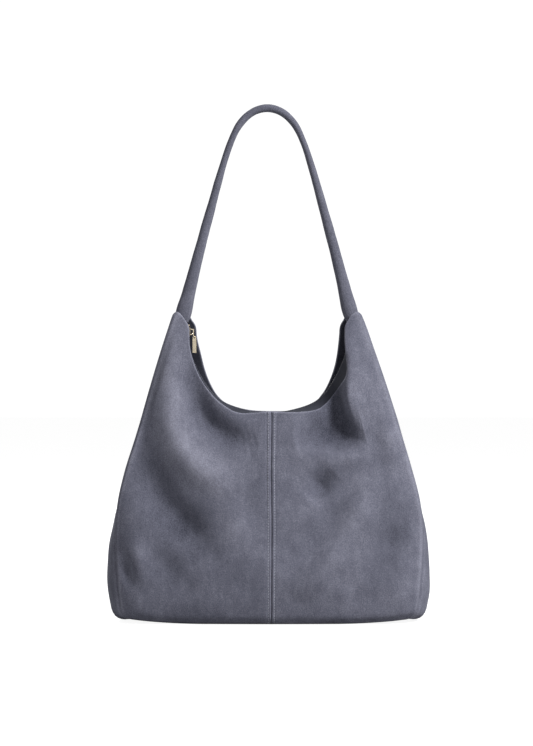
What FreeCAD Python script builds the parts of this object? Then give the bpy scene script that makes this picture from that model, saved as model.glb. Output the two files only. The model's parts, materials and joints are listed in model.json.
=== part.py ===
import FreeCAD, Part
import math
import os

import Sketcher
from FreeCAD import Placement, Rotation, Vector

# A suede hobo bag. Front is -Y, +Z is up, the origin is under the middle of the base.
# Millimetres and degrees. Every size below is one cell of the sheet "sizes".
SIZES = {
    # front outline of the panels
    "body_height": 385.0,
    "seam_half_width": 189.0,
    "ear_half_width": 117.0,
    "lean_start_height": 100.0,
    "panel_corner_radius": 22.0,
    "ear_corner_radius": 6.0,
    "mouth_radius": 95.0,
    "mouth_squareness": 2.6,
    "mouth_centre_drop": 27.0,
    "ear_slope": 16.0,
    # side view: half depth of the bag in the middle, and how far its faces fall back at the sides
    "base_half_depth": 54.0,
    "belly_half_depth": 65.0,
    "belly_height": 60.0,
    "ear_half_depth": 10.8,
    "base_crown": 14.0,
    "belly_crown": 20.0,
    "ear_crown": 1.0,
    # side gussets, base and sheet thicknesses
    "gusset_bulge": 11.0,
    "gusset_bulge_height": 55.0,
    "gusset_flat_height": 150.0,
    "gusset_fold": 4.0,
    "gusset_top_drop": 30.0,
    "suede": 1.6,
    "facing_suede": 1.2,
    "lining_cloth": 0.6,
    "seam_strip_cloth": 0.6,
    "seam_strip_width": 16.0,
    "board": 1.8,
    "board_margin": 4.0,
    "gap": 0.3,
    "facing_width": 17.0,
    "lining_edge_margin": 3.4,
    # zip
    "zip_recess": 5.0,
    "zip_end_angle": 97.0,
    "tape": 0.8,
    "tooth_pitch": 2.8,
    "tooth_width": 1.1,
    "tooth_height": 2.0,
    "tooth_reach": 3.2,
    "tooth_overlap": 0.8,
    "slider_stop_clearance": 1.0,
    "slider_length": 11.0,
    "slider_front_width": 9.0,
    "slider_back_width": 7.6,
    "slider_channel": 3.0,
    "slider_plate": 1.1,
    "slider_flange": 0.7,
    "slider_post": 1.6,
    "slider_corner_radius": 0.9,
    "bridge_length": 8.0,
    "bridge_height": 4.4,
    "bridge_width": 2.4,
    "bridge_bar": 1.1,
    "link_wire": 1.3,
    "link_inner_width": 4.4,
    "link_pitch": 6.6,
    "link_tilt": 24.0,
    "puller_length": 21.0,
    "puller_width": 5.2,
    "puller_plate": 2.0,
    "puller_eye": 2.0,
    "puller_eye_wall": 0.9,
    "stop_length": 2.4,
    "stop_width": 6.0,
    "stop_height": 2.6,
    # strap
    "strap_rise": 259.5,
    "strap_leg_rise": 200.0,
    "strap_leg_end_half_span": 50.0,
    "strap_turn": 45.0,
    "strap_diameter": 9.8,
    "strap_root_width": 18.8,
    "strap_root_depth": 14.4,
    "strap_taper_length": 150.0,
    "strap_pivot_rise": 19.0,
    "strap_neck_length": 32.0,
    "strap_root_reach": 12.0,
    "core_diameter": 6.0,
}

doc = FreeCAD.newDocument("hobo_bag")
sheet = doc.addObject("Spreadsheet::Sheet", "sizes")
for row, (alias, value) in enumerate(SIZES.items(), start=1):
    sheet.set(f"A{row}", alias)
    sheet.set(f"B{row}", str(value))
    sheet.setAlias(f"B{row}", alias)
doc.recompute()
size = {alias: float(getattr(sheet, alias)) for alias in SIZES}

BIG = 400.0  # beyond the bag on every side
sub_parts = []


def keep_shape(label, shape):
    """One sub-part whose shape comes from Part's own functions."""
    item = doc.addObject("Part::Feature", label)
    item.Shape = shape
    item.Label = label
    sub_parts.append(item)
    return item


def mouth_z():
    """Height of the centre that the mouth's edge and the zip turn about."""
    return size["body_height"] - size["mouth_centre_drop"]


def ear_inner_z():
    """Height of the ears' mouth side."""
    return size["body_height"] - size["ear_slope"]


def lining_floor():
    """Height at which the lining of the walls starts: on top of the base's three layers."""
    return size["suede"] + size["board"] + size["lining_cloth"] + 3 * size["gap"]


# ---------------------------------------------------------------- body surfaces


def half_depth(z):
    """Half the bag's depth in its middle at height z: a rounded belly, then a straight taper to the ears."""
    base, belly, ear = size["base_half_depth"], size["belly_half_depth"], size["ear_half_depth"]
    if z < size["belly_height"]:
        rise = max(0.0, z) / size["belly_height"]
        return base + (belly - base) * math.sin(rise * math.pi / 2)
    return belly + (ear - belly) * (z - size["belly_height"]) / (size["body_height"] - size["belly_height"])


def crown(z):
    """How far the faces fall back from the middle to the widest point at height z."""
    base, belly, ear = size["base_crown"], size["belly_crown"], size["ear_crown"]
    if z < size["belly_height"]:
        return base + (belly - base) * max(0.0, z) / size["belly_height"]
    return belly + (ear - belly) * (z - size["belly_height"]) / (size["body_height"] - size["belly_height"])


def core(inset):
    """The solid inside the bag's front and back faces, moved inward by inset. Its sides are out of reach."""
    reach = size["seam_half_width"] + size["gusset_bulge"] + 20
    belly, top = size["belly_height"], size["body_height"]
    levels = [-10.0, 0.0, belly / 3, belly * 0.7, belly]
    levels += [belly + (top - belly) * share for share in (0.2, 0.4, 0.6, 0.8, 1.0, 1.06)]
    sections = []
    for z in levels:
        middle = half_depth(z) - inset
        side = middle - crown(z)
        front = Part.Arc(Vector(-reach, -side, z), Vector(0, -middle, z), Vector(reach, -side, z)).toShape()
        right = Part.makeLine(Vector(reach, -side, z), Vector(reach, side, z))
        back = Part.Arc(Vector(reach, side, z), Vector(0, middle, z), Vector(-reach, side, z)).toShape()
        left = Part.makeLine(Vector(-reach, side, z), Vector(-reach, -side, z))
        sections.append(Part.Wire([front, right, back, left]))
    return Part.makeLoft(sections, True, False)


def layer(outer_inset, thickness):
    """A curved sheet, front and back together, from outer_inset inward by thickness."""
    return core(outer_inset).cut(core(outer_inset + thickness))


# ---------------------------------------------------------------- flat patterns in the XZ plane


def polygon_edges(points):
    return [Part.makeLine(a, b) for a, b in zip(points, points[1:])]


def side_lean():
    """Direction up the leaning side edge of a panel, a point low on its line and its top."""
    upright_top = size["lean_start_height"]
    corner = Vector(size["seam_half_width"], 0, upright_top + (size["body_height"] - upright_top) * 0.19)
    top = Vector(size["ear_half_width"], 0, size["body_height"])
    return (top - corner).normalize(), corner, top


def side_edge(offset):
    """Edges of a panel's side, from the bottom corner to the top, moved inward by offset."""
    direction, corner, top = side_lean()
    normal = Vector(-direction.z, 0, direction.x)
    x = size["seam_half_width"] - offset
    low = Vector(x, 0, size["lean_start_height"])
    # the leaning line is moved inward and meets the upright one at the knee
    moved = corner + normal * offset
    knee = moved + direction * ((x - moved.x) / direction.x)
    half_turn = math.atan2(-direction.x, direction.z) / 2
    radius = (knee.z - low.z) / math.tan(half_turn)
    start = knee + direction * (knee.z - low.z)
    centre = Vector(x - radius, 0, low.z)
    middle = centre + Vector(math.cos(half_turn), 0, math.sin(half_turn)) * radius
    return low, middle, start, top + normal * offset


def mouth_point(reach, turn):
    """A point of the mouth's edge, a circle with its lower corners pushed out. turn is from straight down."""
    n = size["mouth_squareness"]
    radius = reach * (abs(math.sin(turn)) ** n + abs(math.cos(turn)) ** n) ** (-1 / n)
    return Vector(radius * math.sin(turn), 0, mouth_z() - radius * math.cos(turn))


def mouth_curve(reach, start_x):
    """The mouth's edge from x = start_x near its lowest point to its side. reach is its half width."""
    n = size["mouth_squareness"]
    drop = (reach**n - abs(start_x) ** n) ** (1 / n)
    points = [Vector(start_x, 0, mouth_z() - drop)]
    points += [mouth_point(reach, math.radians(7.5 * i)) for i in range(1, 13)]
    curve = Part.BSplineCurve()
    curve.interpolate(points)
    return curve.toShape()


def panel_outline(inner_x, offset, bottom, top, mouth, corner):
    """Closed outline of a right-hand panel, from inner_x to its side edge moved inward by offset."""
    low, middle, start, end = side_edge(offset)
    right = size["seam_half_width"] - offset
    centre_z = mouth_z()
    inner_low = Vector(inner_x, 0, bottom)
    bottom_end = Vector(right - corner, 0, bottom)
    turn = math.sqrt(0.5) * corner
    corner_middle = Vector(right - corner + turn, 0, bottom + corner - turn)
    corner_end = Vector(right, 0, bottom + corner)
    edges = [Part.makeLine(inner_low, bottom_end)]
    edges.append(Part.Arc(bottom_end, corner_middle, corner_end).toShape())
    edges.append(Part.makeLine(corner_end, low))
    edges.append(Part.Arc(low, middle, start).toShape())
    direction = (end - start).normalize()
    mouth_top = Vector(mouth, 0, min(top, ear_inner_z()))
    mouth_side = Vector(mouth, 0, centre_z)
    mouth_edge = mouth_curve(mouth, inner_x)
    if top >= size["body_height"]:
        # a rounded ear: its top edge slopes down from the shoulder to the mouth
        radius = size["ear_corner_radius"]
        slope = (mouth_top - end).normalize()
        a, b = end - direction * radius, end + slope * radius
        bend = end + (slope - direction) * radius * 0.25
        edges += [Part.makeLine(start, a), Part.Arc(a, bend, b).toShape(), Part.makeLine(b, mouth_top)]
    else:
        high = start + direction * ((top - start.z) / direction.z)
        edges += [Part.makeLine(start, high), Part.makeLine(high, mouth_top)]
    edges.append(Part.makeLine(mouth_top, mouth_side))
    edges.append(mouth_edge)
    edges.append(Part.makeLine(mouth_edge.Vertexes[0].Point, inner_low))
    return Part.Wire(Part.__sortEdges__(edges))


def front_prism(wire):
    """The outline as a block in front of the middle plane."""
    return Part.Face(wire).extrude(Vector(0, -BIG, 0))


def mirror_x(shape):
    return shape.mirror(Vector(0, 0, 0), Vector(1, 0, 0))


def mirror_y(shape):
    return shape.mirror(Vector(0, 0, 0), Vector(0, 1, 0))


def four_ways(name, right_front):
    keep_shape(f"front_{name}_right", right_front)
    keep_shape(f"front_{name}_left", mirror_x(right_front))
    keep_shape(f"back_{name}_right", mirror_y(right_front))
    keep_shape(f"back_{name}_left", mirror_x(mirror_y(right_front)))


def make_panels():
    """Four suede panels with a seam down the middle of the front and the back."""
    outline = panel_outline(
        size["gap"] / 2,
        0.0,
        0.0,
        size["body_height"],
        size["mouth_radius"],
        size["panel_corner_radius"],
    )
    four_ways("panel", layer(0, size["suede"]).common(front_prism(outline)))


def facing_outline():
    """Band along the mouth on the inside, from ear to ear."""
    inner, outer = size["mouth_radius"], size["mouth_radius"] + size["facing_width"]
    centre_z, top = mouth_z(), ear_inner_z()
    edges = []
    for reach in (inner, outer):
        right = mouth_curve(reach, 0)
        edges += [right, mirror_x(right)]
    for side in (-1, 1):
        points = [
            Vector(side * inner, 0, centre_z),
            Vector(side * inner, 0, top),
            Vector(side * outer, 0, top + (outer - inner) * 0.5),
            Vector(side * outer, 0, centre_z),
        ]
        edges += polygon_edges(points)
    return Part.Wire(Part.__sortEdges__(edges))


def make_facings():
    """Suede facings inside the mouth's edge, which the zip tapes are sewn to."""
    band = layer(size["suede"] + size["gap"], size["facing_suede"])
    front = band.common(front_prism(facing_outline()))
    keep_shape("front_facing", front)
    keep_shape("back_facing", mirror_y(front))


def lining_depth():
    """Inset of the lining's outer side: it lies inside the seam strip."""
    return size["suede"] + size["seam_strip_cloth"] + 2 * size["gap"]


def make_lining_and_strips():
    """Cloth lining of the front and back, and the strips behind the two centre seams."""
    floor = lining_floor()
    mouth = size["mouth_radius"] + size["facing_width"] + size["gap"]
    top = mouth_z() + size["gap"]
    inset = size["suede"] + size["gap"] + size["lining_edge_margin"]
    half = panel_outline(0.0, inset, floor, top, mouth, size["panel_corner_radius"])
    cloth = layer(lining_depth(), size["lining_cloth"])
    right = cloth.common(front_prism(half))
    left = mirror_x(right)
    front = right.fuse(left).removeSplitter()
    keep_shape("lining_front", front)
    keep_shape("lining_back", mirror_y(front))

    width = size["seam_strip_width"]
    strip_top = mouth_z() - mouth
    block = Part.makeBox(width, BIG, strip_top - floor, Vector(-width / 2, -BIG, floor))
    strip = layer(size["suede"] + size["gap"], size["seam_strip_cloth"]).common(block)
    keep_shape("front_seam_strip", strip)
    keep_shape("back_seam_strip", mirror_y(strip))


# ---------------------------------------------------------------- gussets and base


def gusset_bulge(z):
    """How far the gusset's middle stands out of the line between the panels' edges at height z."""
    bulge, fold = size["gusset_bulge"], size["gusset_fold"]
    top, flat = size["gusset_bulge_height"], size["gusset_flat_height"]
    if z < top:
        return bulge * math.sin(max(0.0, z) / top * math.pi / 2)
    if z < flat:
        return bulge * (1 + math.cos((z - top) / (flat - top) * math.pi)) / 2
    return -fold * min(1.0, (z - flat) / (flat - top))


def side_spine():
    """Points and outward directions up a panel's side, from the base's corner to below the ear."""
    low, middle, start, top = side_edge(0)
    corner = size["panel_corner_radius"]
    foot = Vector(low.x - corner, 0, 0)
    turn = Vector(low.x - corner * (1 - math.sqrt(0.5)), 0, corner * (1 - math.sqrt(0.5)))
    above = Vector(low.x, 0, corner)
    end = top - (top - start).normalize() * size["gusset_top_drop"]
    edges = [Part.Arc(foot, turn, above).toShape(), Part.makeLine(above, low)]
    edges += [Part.Arc(low, middle, start).toShape(), Part.makeLine(start, end)]
    stations = []
    for edge, count in zip(edges, (5, 5, 4, 7)):
        for i in range(0 if edge is edges[0] else 1, count + 1):
            value = edge.FirstParameter + (edge.LastParameter - edge.FirstParameter) * i / count
            along = edge.tangentAt(value)
            stations.append((edge.valueAt(value), Vector(along.z, 0, -along.x)))
    return stations


def gusset_section(point, outward, inset, thickness):
    """A closed section of the gusset across the bag, bulging in its middle."""
    half = half_depth(point.z) + 2
    sides = []
    for depth in (inset, inset + thickness):
        line = []
        for across in (-1, -0.6, 0, 0.6, 1):
            out = gusset_bulge(point.z) * (1 - across**2) - depth
            line.append(point + outward * out + Vector(0, across * half, 0))
        curve = Part.BSplineCurve()
        curve.interpolate(line)
        sides.append((curve.toShape(), line[0], line[-1]))
    (outer, a, b), (inner, c, d) = sides
    return Part.Wire(Part.__sortEdges__([outer, Part.makeLine(b, d), inner, Part.makeLine(c, a)]))


def gusset_strip(inset, thickness):
    """A strip up the bag's side, wider than the bag, to be trimmed to its faces."""
    sections = [gusset_section(*station, inset, thickness) for station in side_spine()]
    return Part.makeLoft(sections, True, False)


def make_gussets():
    """Side gussets between the panels, bulging near the base, and their lining."""
    strip = gusset_strip(0, size["suede"])
    right = strip.common(core(size["suede"] + size["gap"]))
    keep_shape("gusset_right", right)
    keep_shape("gusset_left", mirror_x(right))

    floor = lining_floor()
    cloth = gusset_strip(size["suede"] + size["gap"], size["lining_cloth"])
    inside = core(lining_depth() + size["lining_cloth"] + size["gap"])
    room = Part.makeBox(BIG, 2 * BIG, mouth_z() - floor, Vector(0, -BIG, floor))
    right = cloth.common(inside).common(room)
    keep_shape("lining_side_right", right)
    keep_shape("lining_side_left", mirror_x(right))


def base_sheet(label, z_low, thickness, half_width, inset):
    """A flat sheet between the front and back faces. Places and sizes are expressions; inset is a length."""
    block = doc.addObject("Part::Box", f"{label}_block")
    block.setExpression("Length", f"2 * ({half_width})")
    block.Width = 2 * BIG
    block.setExpression("Height", thickness)
    block.setExpression("Placement.Base.x", f"-({half_width})")
    block.Placement.Base.y = -BIG
    block.setExpression("Placement.Base.z", z_low)
    room = doc.addObject("Part::Feature", f"{label}_room")
    room.Shape = core(inset)
    sheet_part = doc.addObject("Part::Common", label)
    sheet_part.Base = block
    sheet_part.Tool = room
    sheet_part.Label = label
    sub_parts.append(sheet_part)


def make_base():
    """Base panel, stiffening board and base lining, one on the other."""
    half_width = "sizes.seam_half_width - sizes.panel_corner_radius - sizes.gap"
    inner_half_width = f"{half_width} - sizes.board_margin"
    suede_top = "sizes.suede + sizes.gap"
    board_top = f"{suede_top} + sizes.board + sizes.gap"
    base_sheet("base_panel", "0", "sizes.suede", half_width, size["suede"] + size["gap"])
    base_sheet("base_board", suede_top, "sizes.board", inner_half_width, size["suede"] + 2 * size["gap"])
    base_sheet("lining_base", board_top, "sizes.lining_cloth", inner_half_width, lining_depth())


# ---------------------------------------------------------------- zip


def zip_radius():
    return size["mouth_radius"] + size["zip_recess"]


def mouth_centre():
    return Vector(0, 0, mouth_z())


def on_track(angle, inward=0.0, across=0.0):
    """A point by the zip's line. The angle is from straight down, positive towards +X."""
    radius = zip_radius() - inward
    turn = math.radians(angle)
    return mouth_centre() + Vector(radius * math.sin(turn), across, -radius * math.cos(turn))


def track_placement(angle):
    """Local x runs along the zip towards +X, local y is +Y, local z points at the mouth's centre."""
    return Placement(on_track(angle), Rotation(Vector(0, 1, 0), -angle))


def slider_angle():
    """The closed slider's place: its end stands clear of the stop at the zip's left end."""
    back = 1.5 * size["stop_length"] + size["slider_stop_clearance"] + size["slider_length"] / 2
    return math.degrees(back / zip_radius()) - size["zip_end_angle"]


def make_tapes():
    """Two cloth tapes on a circular arc, each from its facing to the teeth."""
    radius, half = zip_radius(), size["tape"] / 2
    end = size["zip_end_angle"]
    edges = []
    for r in (radius - half, radius + half):
        inward = radius - r
        points = [on_track(angle, inward) for angle in (-end, 0, end)]
        edges.append(Part.Arc(*points).toShape())
    for angle in (-end, end):
        edges.append(Part.makeLine(on_track(angle, -half), on_track(angle, half)))
    face = Part.Face(Part.Wire(Part.__sortEdges__(edges)))
    inner_edge = size["tooth_reach"] - size["tooth_overlap"] + size["gap"]
    band = face.extrude(Vector(0, -BIG, 0)).translated(Vector(0, -inner_edge, 0))
    front = band.common(core(size["suede"] + size["facing_suede"] + 2 * size["gap"]))
    keep_shape("zip_tape_front", front)
    keep_shape("zip_tape_back", mirror_y(front))


def make_teeth():
    """Two rows of metal teeth that mesh in the middle plane. The slider's post stands past the first one."""
    step = math.degrees(size["tooth_pitch"] / zip_radius())
    post_end = math.degrees((size["slider_length"] / 2 - 1.5 * size["slider_post"]) / zip_radius())
    start = slider_angle() - post_end + step
    stop_room = math.degrees((size["stop_length"] + 1) / zip_radius())
    count = int((size["zip_end_angle"] - stop_room - start) / step)
    width, height, reach = size["tooth_width"], size["tooth_height"], size["tooth_reach"]
    for label, side, shift in (("zip_teeth_front", -1, 0.0), ("zip_teeth_back", 1, 0.5)):
        y_low = -reach + size["tooth_overlap"] if side < 0 else -size["tooth_overlap"]
        teeth = []
        for i in range(count):
            tooth = Part.makeBox(width, reach, height, Vector(-width / 2, y_low, -height / 2))
            tooth.Placement = track_placement(start + (i + shift) * step)
            teeth.append(tooth)
        keep_shape(label, Part.makeCompound(teeth))


def fix_points(sketch, points):
    """A closed chain of lines whose corners are held by expressions, each corner (x, y) as text."""
    numbers = [tuple(expression_value(text) for text in point) for point in points]
    count = len(points)
    start = sketch.GeometryCount
    for i in range(count):
        a, b = numbers[i], numbers[(i + 1) % count]
        sketch.addGeometry(Part.LineSegment(Vector(*a, 0), Vector(*b, 0)), False)
    for i in range(count):
        after = start + (i + 1) % count
        sketch.addConstraint(Sketcher.Constraint("Coincident", start + i, 2, after, 1))
    for i, point in enumerate(points):
        for kind, text, number in zip(("DistanceX", "DistanceY"), point, numbers[i]):
            index = sketch.addConstraint(Sketcher.Constraint(kind, -1, 1, start + i, 1, number))
            sketch.setExpression(f"Constraints[{index}]", text)


def fix_circle(sketch, centre_x, diameter):
    """A circle on the sketch's x axis. Both sizes are expressions."""
    x, across = expression_value(centre_x), expression_value(diameter)
    index = sketch.addGeometry(Part.Circle(Vector(x, 0, 0), Vector(0, 0, 1), across / 2), False)
    sketch.addConstraint(Sketcher.Constraint("DistanceY", -1, 1, index, 3, 0.0))
    for constraint, text in (
        (Sketcher.Constraint("DistanceX", -1, 1, index, 3, x), centre_x),
        (Sketcher.Constraint("Diameter", index, across), diameter),
    ):
        number = sketch.addConstraint(constraint)
        sketch.setExpression(f"Constraints[{number}]", text)


def expression_value(text):
    """The value of an expression of sheet sizes, so that a sketch starts at its solution."""
    return float(sheet.evalExpression(text.replace("sizes.", "")))


def add_sketch(body, name, plane):
    sketch = body.newObject("Sketcher::SketchObject", name)
    feature = [item for item in body.Origin.OriginFeatures if item.Role == plane][0]
    sketch.AttachmentSupport = [(feature, "")]
    sketch.MapMode = "FlatFace"
    return sketch


def body_with_sketch(label, plane):
    """A PartDesign body with one sketch on an origin plane."""
    body = doc.addObject("PartDesign::Body", label)
    body.Label = label
    return body, add_sketch(body, f"{label}_sketch", plane)


def pad_both_ways(body, sketch, name, length):
    """A pad that reaches half its length to each side of the sketch."""
    pad = body.newObject("PartDesign::Pad", name)
    pad.Profile = sketch
    pad.Midplane = True
    pad.setExpression("Length", length)
    doc.recompute()
    return pad


def pocket_both_ways(body, sketch, name, length):
    """A pocket that reaches half its length to each side of the sketch, checked by what it removes."""
    before = body.Shape.Volume
    pocket = body.newObject("PartDesign::Pocket", name)
    pocket.Profile = sketch
    pocket.Midplane = True
    pocket.setExpression("Length", length)
    doc.recompute()
    if pocket.Shape.Volume >= before:
        raise RuntimeError(f"{name} cuts nothing")
    return pocket


def edge_names(shape, wanted):
    """Names of the shape's edges that pass the test wanted."""
    return [f"Edge{i}" for i, edge in enumerate(shape.Edges, start=1) if wanted(edge)]


def runs_along(edge, direction):
    """True for a straight edge along a direction."""
    if len(edge.Vertexes) < 2:
        return False
    a, b = (vertex.Point for vertex in edge.Vertexes)
    return abs((b - a).dot(direction)) > (b - a).Length * 0.999


def make_slider():
    """Zip slider: two plates with flanges, joined by a post between the rows of teeth."""
    end = "sizes.slider_length / 2"
    front, back = "sizes.slider_front_width / 2", "sizes.slider_back_width / 2"
    flange = "sizes.slider_flange"
    past = f"{end} + 1"
    label = "slider_body"
    body, outline = body_with_sketch(label, "XY_Plane")
    corners = [(f"-({end})", f"-({front})"), (end, f"-({back})"), (end, back), (f"-({end})", front)]
    fix_points(outline, corners)
    pad_both_ways(body, outline, "slider_block", "sizes.slider_channel + 2 * sizes.slider_plate")

    channel = add_sketch(body, "channel_sketch", "XY_Plane")
    inner_front, inner_back = f"{front} - {flange}", f"{back} - {flange}"
    corners = [
        (f"-({past})", f"-({inner_front})"),
        (past, f"-({inner_back})"),
        (past, inner_back),
        (f"-({past})", inner_front),
    ]
    fix_points(channel, corners)
    pocket_both_ways(body, channel, "channel", "sizes.slider_channel")

    post = add_sketch(body, "post_sketch", "XY_Plane")
    fix_circle(post, f"-({end}) + 0.7 * sizes.slider_post", "sizes.slider_post")
    pad_both_ways(body, post, "post", "sizes.slider_channel + sizes.slider_plate")

    slots = add_sketch(body, "tape_slot_sketch", "XY_Plane")
    inner, outer = "sizes.slider_post / 2 + 0.3", f"{front} + 1"
    for side in ("", "-"):
        corners = [(f"-({past})", inner), (past, inner), (past, outer), (f"-({past})", outer)]
        fix_points(slots, [(x, f"{side}({y})") for x, y in corners])
    last = pocket_both_ways(body, slots, "tape_slots", "sizes.tape + 2 * sizes.gap")

    fillet = body.newObject("PartDesign::Fillet", "slider_corners")
    upright = edge_names(last.Shape, lambda edge: is_outer_corner(edge))
    fillet.Base = (last, upright)
    fillet.setExpression("Radius", "sizes.slider_corner_radius")
    doc.recompute()
    body.Placement = track_placement(slider_angle())
    sub_parts.append(body)


def is_outer_corner(edge):
    """True for the upright edges at the corners of the slider's two plates."""
    if not runs_along(edge, Vector(0, 0, 1)):
        return False
    far = abs(edge.Vertexes[0].X) > size["slider_length"] / 2 - 0.01
    wide = abs(edge.Vertexes[0].Y) > size["slider_back_width"] / 2 - 0.01
    return far and wide


def slider_top():
    return size["slider_channel"] / 2 + size["slider_plate"]


def make_bridge():
    """An arch over the slider's top plate, drawn in its side view and padded across."""
    body, sketch = body_with_sketch("slider_bridge", "XZ_Plane")
    low = "sizes.slider_channel / 2 + sizes.slider_plate"
    high = f"{low} + sizes.bridge_height"
    end = "sizes.bridge_length / 2"
    bar = "sizes.bridge_bar"
    points = [
        (f"-{end}", low),
        (f"-{end} + 0.8", high),
        (f"{end} - 0.8", high),
        (end, low),
        (f"{end} - {bar}", low),
        (f"{end} - {bar} - 0.7", f"{high} - {bar}"),
        (f"-{end} + {bar} + 0.7", f"{high} - {bar}"),
        (f"-{end} + {bar}", low),
    ]
    fix_points(sketch, points)
    pad_both_ways(body, sketch, "bridge_pad", "sizes.bridge_width")
    body.Placement = track_placement(slider_angle())
    sub_parts.append(body)


def link_pivot():
    """Centre of the link's upper wire in the slider's frame: it hangs in the bridge's far corner."""
    clear = size["link_wire"] / 2 + size["gap"]
    along = size["bridge_length"] / 2 - size["bridge_bar"] - 0.7 - clear
    up = slider_top() + size["bridge_height"] - size["bridge_bar"] - clear
    return Vector(along, 0, up)


def slider_point(local):
    return track_placement(slider_angle()).multVec(local)


def link_direction():
    """The way the link hangs, in the bag's frame: straight down, tilted towards the middle of the mouth."""
    tilt = math.radians(size["link_tilt"])
    return Vector(math.sin(tilt), 0, -math.cos(tilt))


def make_link():
    """A rounded wire loop. Its upper wire is in the bridge, its lower wire in the puller's eye."""
    wire = size["link_wire"]
    half = size["link_inner_width"] / 2 + wire / 2
    pitch = size["link_pitch"]
    bend = wire * 0.9
    corners = [(half, 0), (half, -pitch), (-half, -pitch), (-half, 0)]
    edges = []
    for i, (y, z) in enumerate(corners):
        here, before, after = (
            Vector(0, *corners[k % 4]) for k in (i, i - 1, i + 1)
        )
        to_before, to_after = (before - here).normalize(), (after - here).normalize()
        a, b = here + to_before * bend, here + to_after * bend
        middle = here + (to_before + to_after) * bend * (1 - math.sqrt(0.5))
        edges.append(Part.Arc(a, middle, b).toShape())
        edges.append(Part.makeLine(b, after - to_after * bend))
    path = Part.Wire(edges)
    start = edges[1].CenterOfMass
    along = edges[1].tangentAt(edges[1].FirstParameter)
    profile = Part.Wire([Part.makeCircle(wire / 2, start, along)])
    path = Part.Wire(Part.__sortEdges__([*split_first(edges, start)]))
    loop = path.makePipeShell([profile], True, False)
    item = keep_shape("puller_link", loop)
    item.Placement = Placement(slider_point(link_pivot()), Rotation(Vector(0, 0, -1), link_direction()))


def split_first(edges, point):
    """The closed path's edges, starting at a point in the middle of its second edge."""
    second = edges[1]
    first_half = Part.makeLine(point, second.Vertexes[1].Point)
    last_half = Part.makeLine(second.Vertexes[0].Point, point)
    return [first_half, *edges[2:], edges[0], last_half]


def puller_pivot():
    return slider_point(link_pivot()) + link_direction() * size["link_pitch"]


def make_puller():
    """A flat metal bar with an eye, padded from its front view."""
    body, sketch = body_with_sketch("puller_bar", "XZ_Plane")
    half = "sizes.puller_width / 2"
    top = "sizes.puller_eye / 2 + sizes.puller_eye_wall"
    bottom = f"{top} - sizes.puller_length"
    shoulder = f"{top} - 3"
    neck = f"{half} - 0.9"
    points = [
        (f"-({neck})", top),
        (neck, top),
        (half, shoulder),
        (half, bottom),
        (f"-({half})", bottom),
        (f"-({half})", shoulder),
    ]
    fix_points(sketch, points)
    pad_both_ways(body, sketch, "bar_pad", "sizes.puller_plate")
    eye = add_sketch(body, "eye_sketch", "XZ_Plane")
    fix_circle(eye, "0", "sizes.puller_eye")
    eye_pocket = pocket_both_ways(body, eye, "eye_pocket", "2 * sizes.puller_plate")
    chamfer = body.newObject("PartDesign::Chamfer", "bar_chamfer")
    long_sides = edge_names(eye_pocket.Shape, lambda edge: edge.Length > size["puller_length"] * 0.6)
    chamfer.Base = (eye_pocket, long_sides)
    chamfer.Size = 0.3
    doc.recompute()
    body.Placement = Placement(puller_pivot(), Rotation())
    sub_parts.append(body)


def make_stops():
    """A metal stop at each end of the zip, an H that clasps the edges of both tapes."""
    half, high = "sizes.stop_width / 2", "sizes.stop_height / 2"
    slot, waist = "sizes.tape / 2 + sizes.gap / 2", "sizes.tooth_reach - sizes.tooth_overlap"
    quarter = [(half, f"-({high})"), (half, f"-({slot})"), (waist, f"-({slot})")]
    right = [*quarter, *((x, y[2:-1]) for x, y in reversed(quarter))]
    left = [(f"-({x})", y) for x, y in reversed(right)]
    for label, side in (("zip_stop_left", -1), ("zip_stop_right", 1)):
        body, sketch = body_with_sketch(label, "YZ_Plane")
        fix_points(sketch, [*right, *left])
        pad = pad_both_ways(body, sketch, f"{label}_pad", "sizes.stop_length")
        fillet = body.newObject("PartDesign::Fillet", f"{label}_edges")
        fillet.Base = (pad, edge_names(pad.Shape, is_stop_ridge))
        fillet.Radius = 0.4
        doc.recompute()
        end = size["zip_end_angle"] - math.degrees(size["stop_length"] / zip_radius())
        body.Placement = track_placement(side * end)
        sub_parts.append(body)


def is_stop_ridge(edge):
    """True for the four long outer edges of a stop."""
    along = runs_along(edge, Vector(1, 0, 0))
    return along and abs(edge.Vertexes[0].Z) > size["stop_height"] / 2 - 0.01


# ---------------------------------------------------------------- strap


def strap_root_x():
    """Half the distance between the legs where they leave the ears, beside the mouth."""
    return size["mouth_radius"] + size["strap_root_width"] / 2


def strap_tilt():
    """Lean of the legs from upright, in radians."""
    return math.atan2(strap_root_x() - size["strap_leg_end_half_span"], size["strap_leg_rise"])


def strap_apex():
    """Height of the centreline's highest point."""
    return size["body_height"] + size["strap_rise"] - size["strap_diameter"] / 2


def strap_leg_end():
    """Height at which the straight legs end and the arch starts."""
    return size["body_height"] + size["strap_leg_rise"]


def strap_radii():
    """Apex and shoulder radii of the strap's centreline, so that it is smooth from leg to leg."""
    turn, end = math.radians(size["strap_turn"]), math.pi / 2 - strap_tilt()
    x = strap_leg_x(strap_leg_end())
    drop = strap_apex() - strap_leg_end()
    a, b = math.sin(turn), math.sin(end) - math.sin(turn)
    c, d = 1 - math.cos(turn), math.cos(turn) - math.cos(end)
    scale = a * d - b * c
    return (x * d - b * drop) / scale, (a * drop - c * x) / scale


def strap_leg_x(z):
    """Distance of the leg's centreline from the middle at height z."""
    return strap_root_x() - (z - size["body_height"]) * math.tan(strap_tilt())


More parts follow.
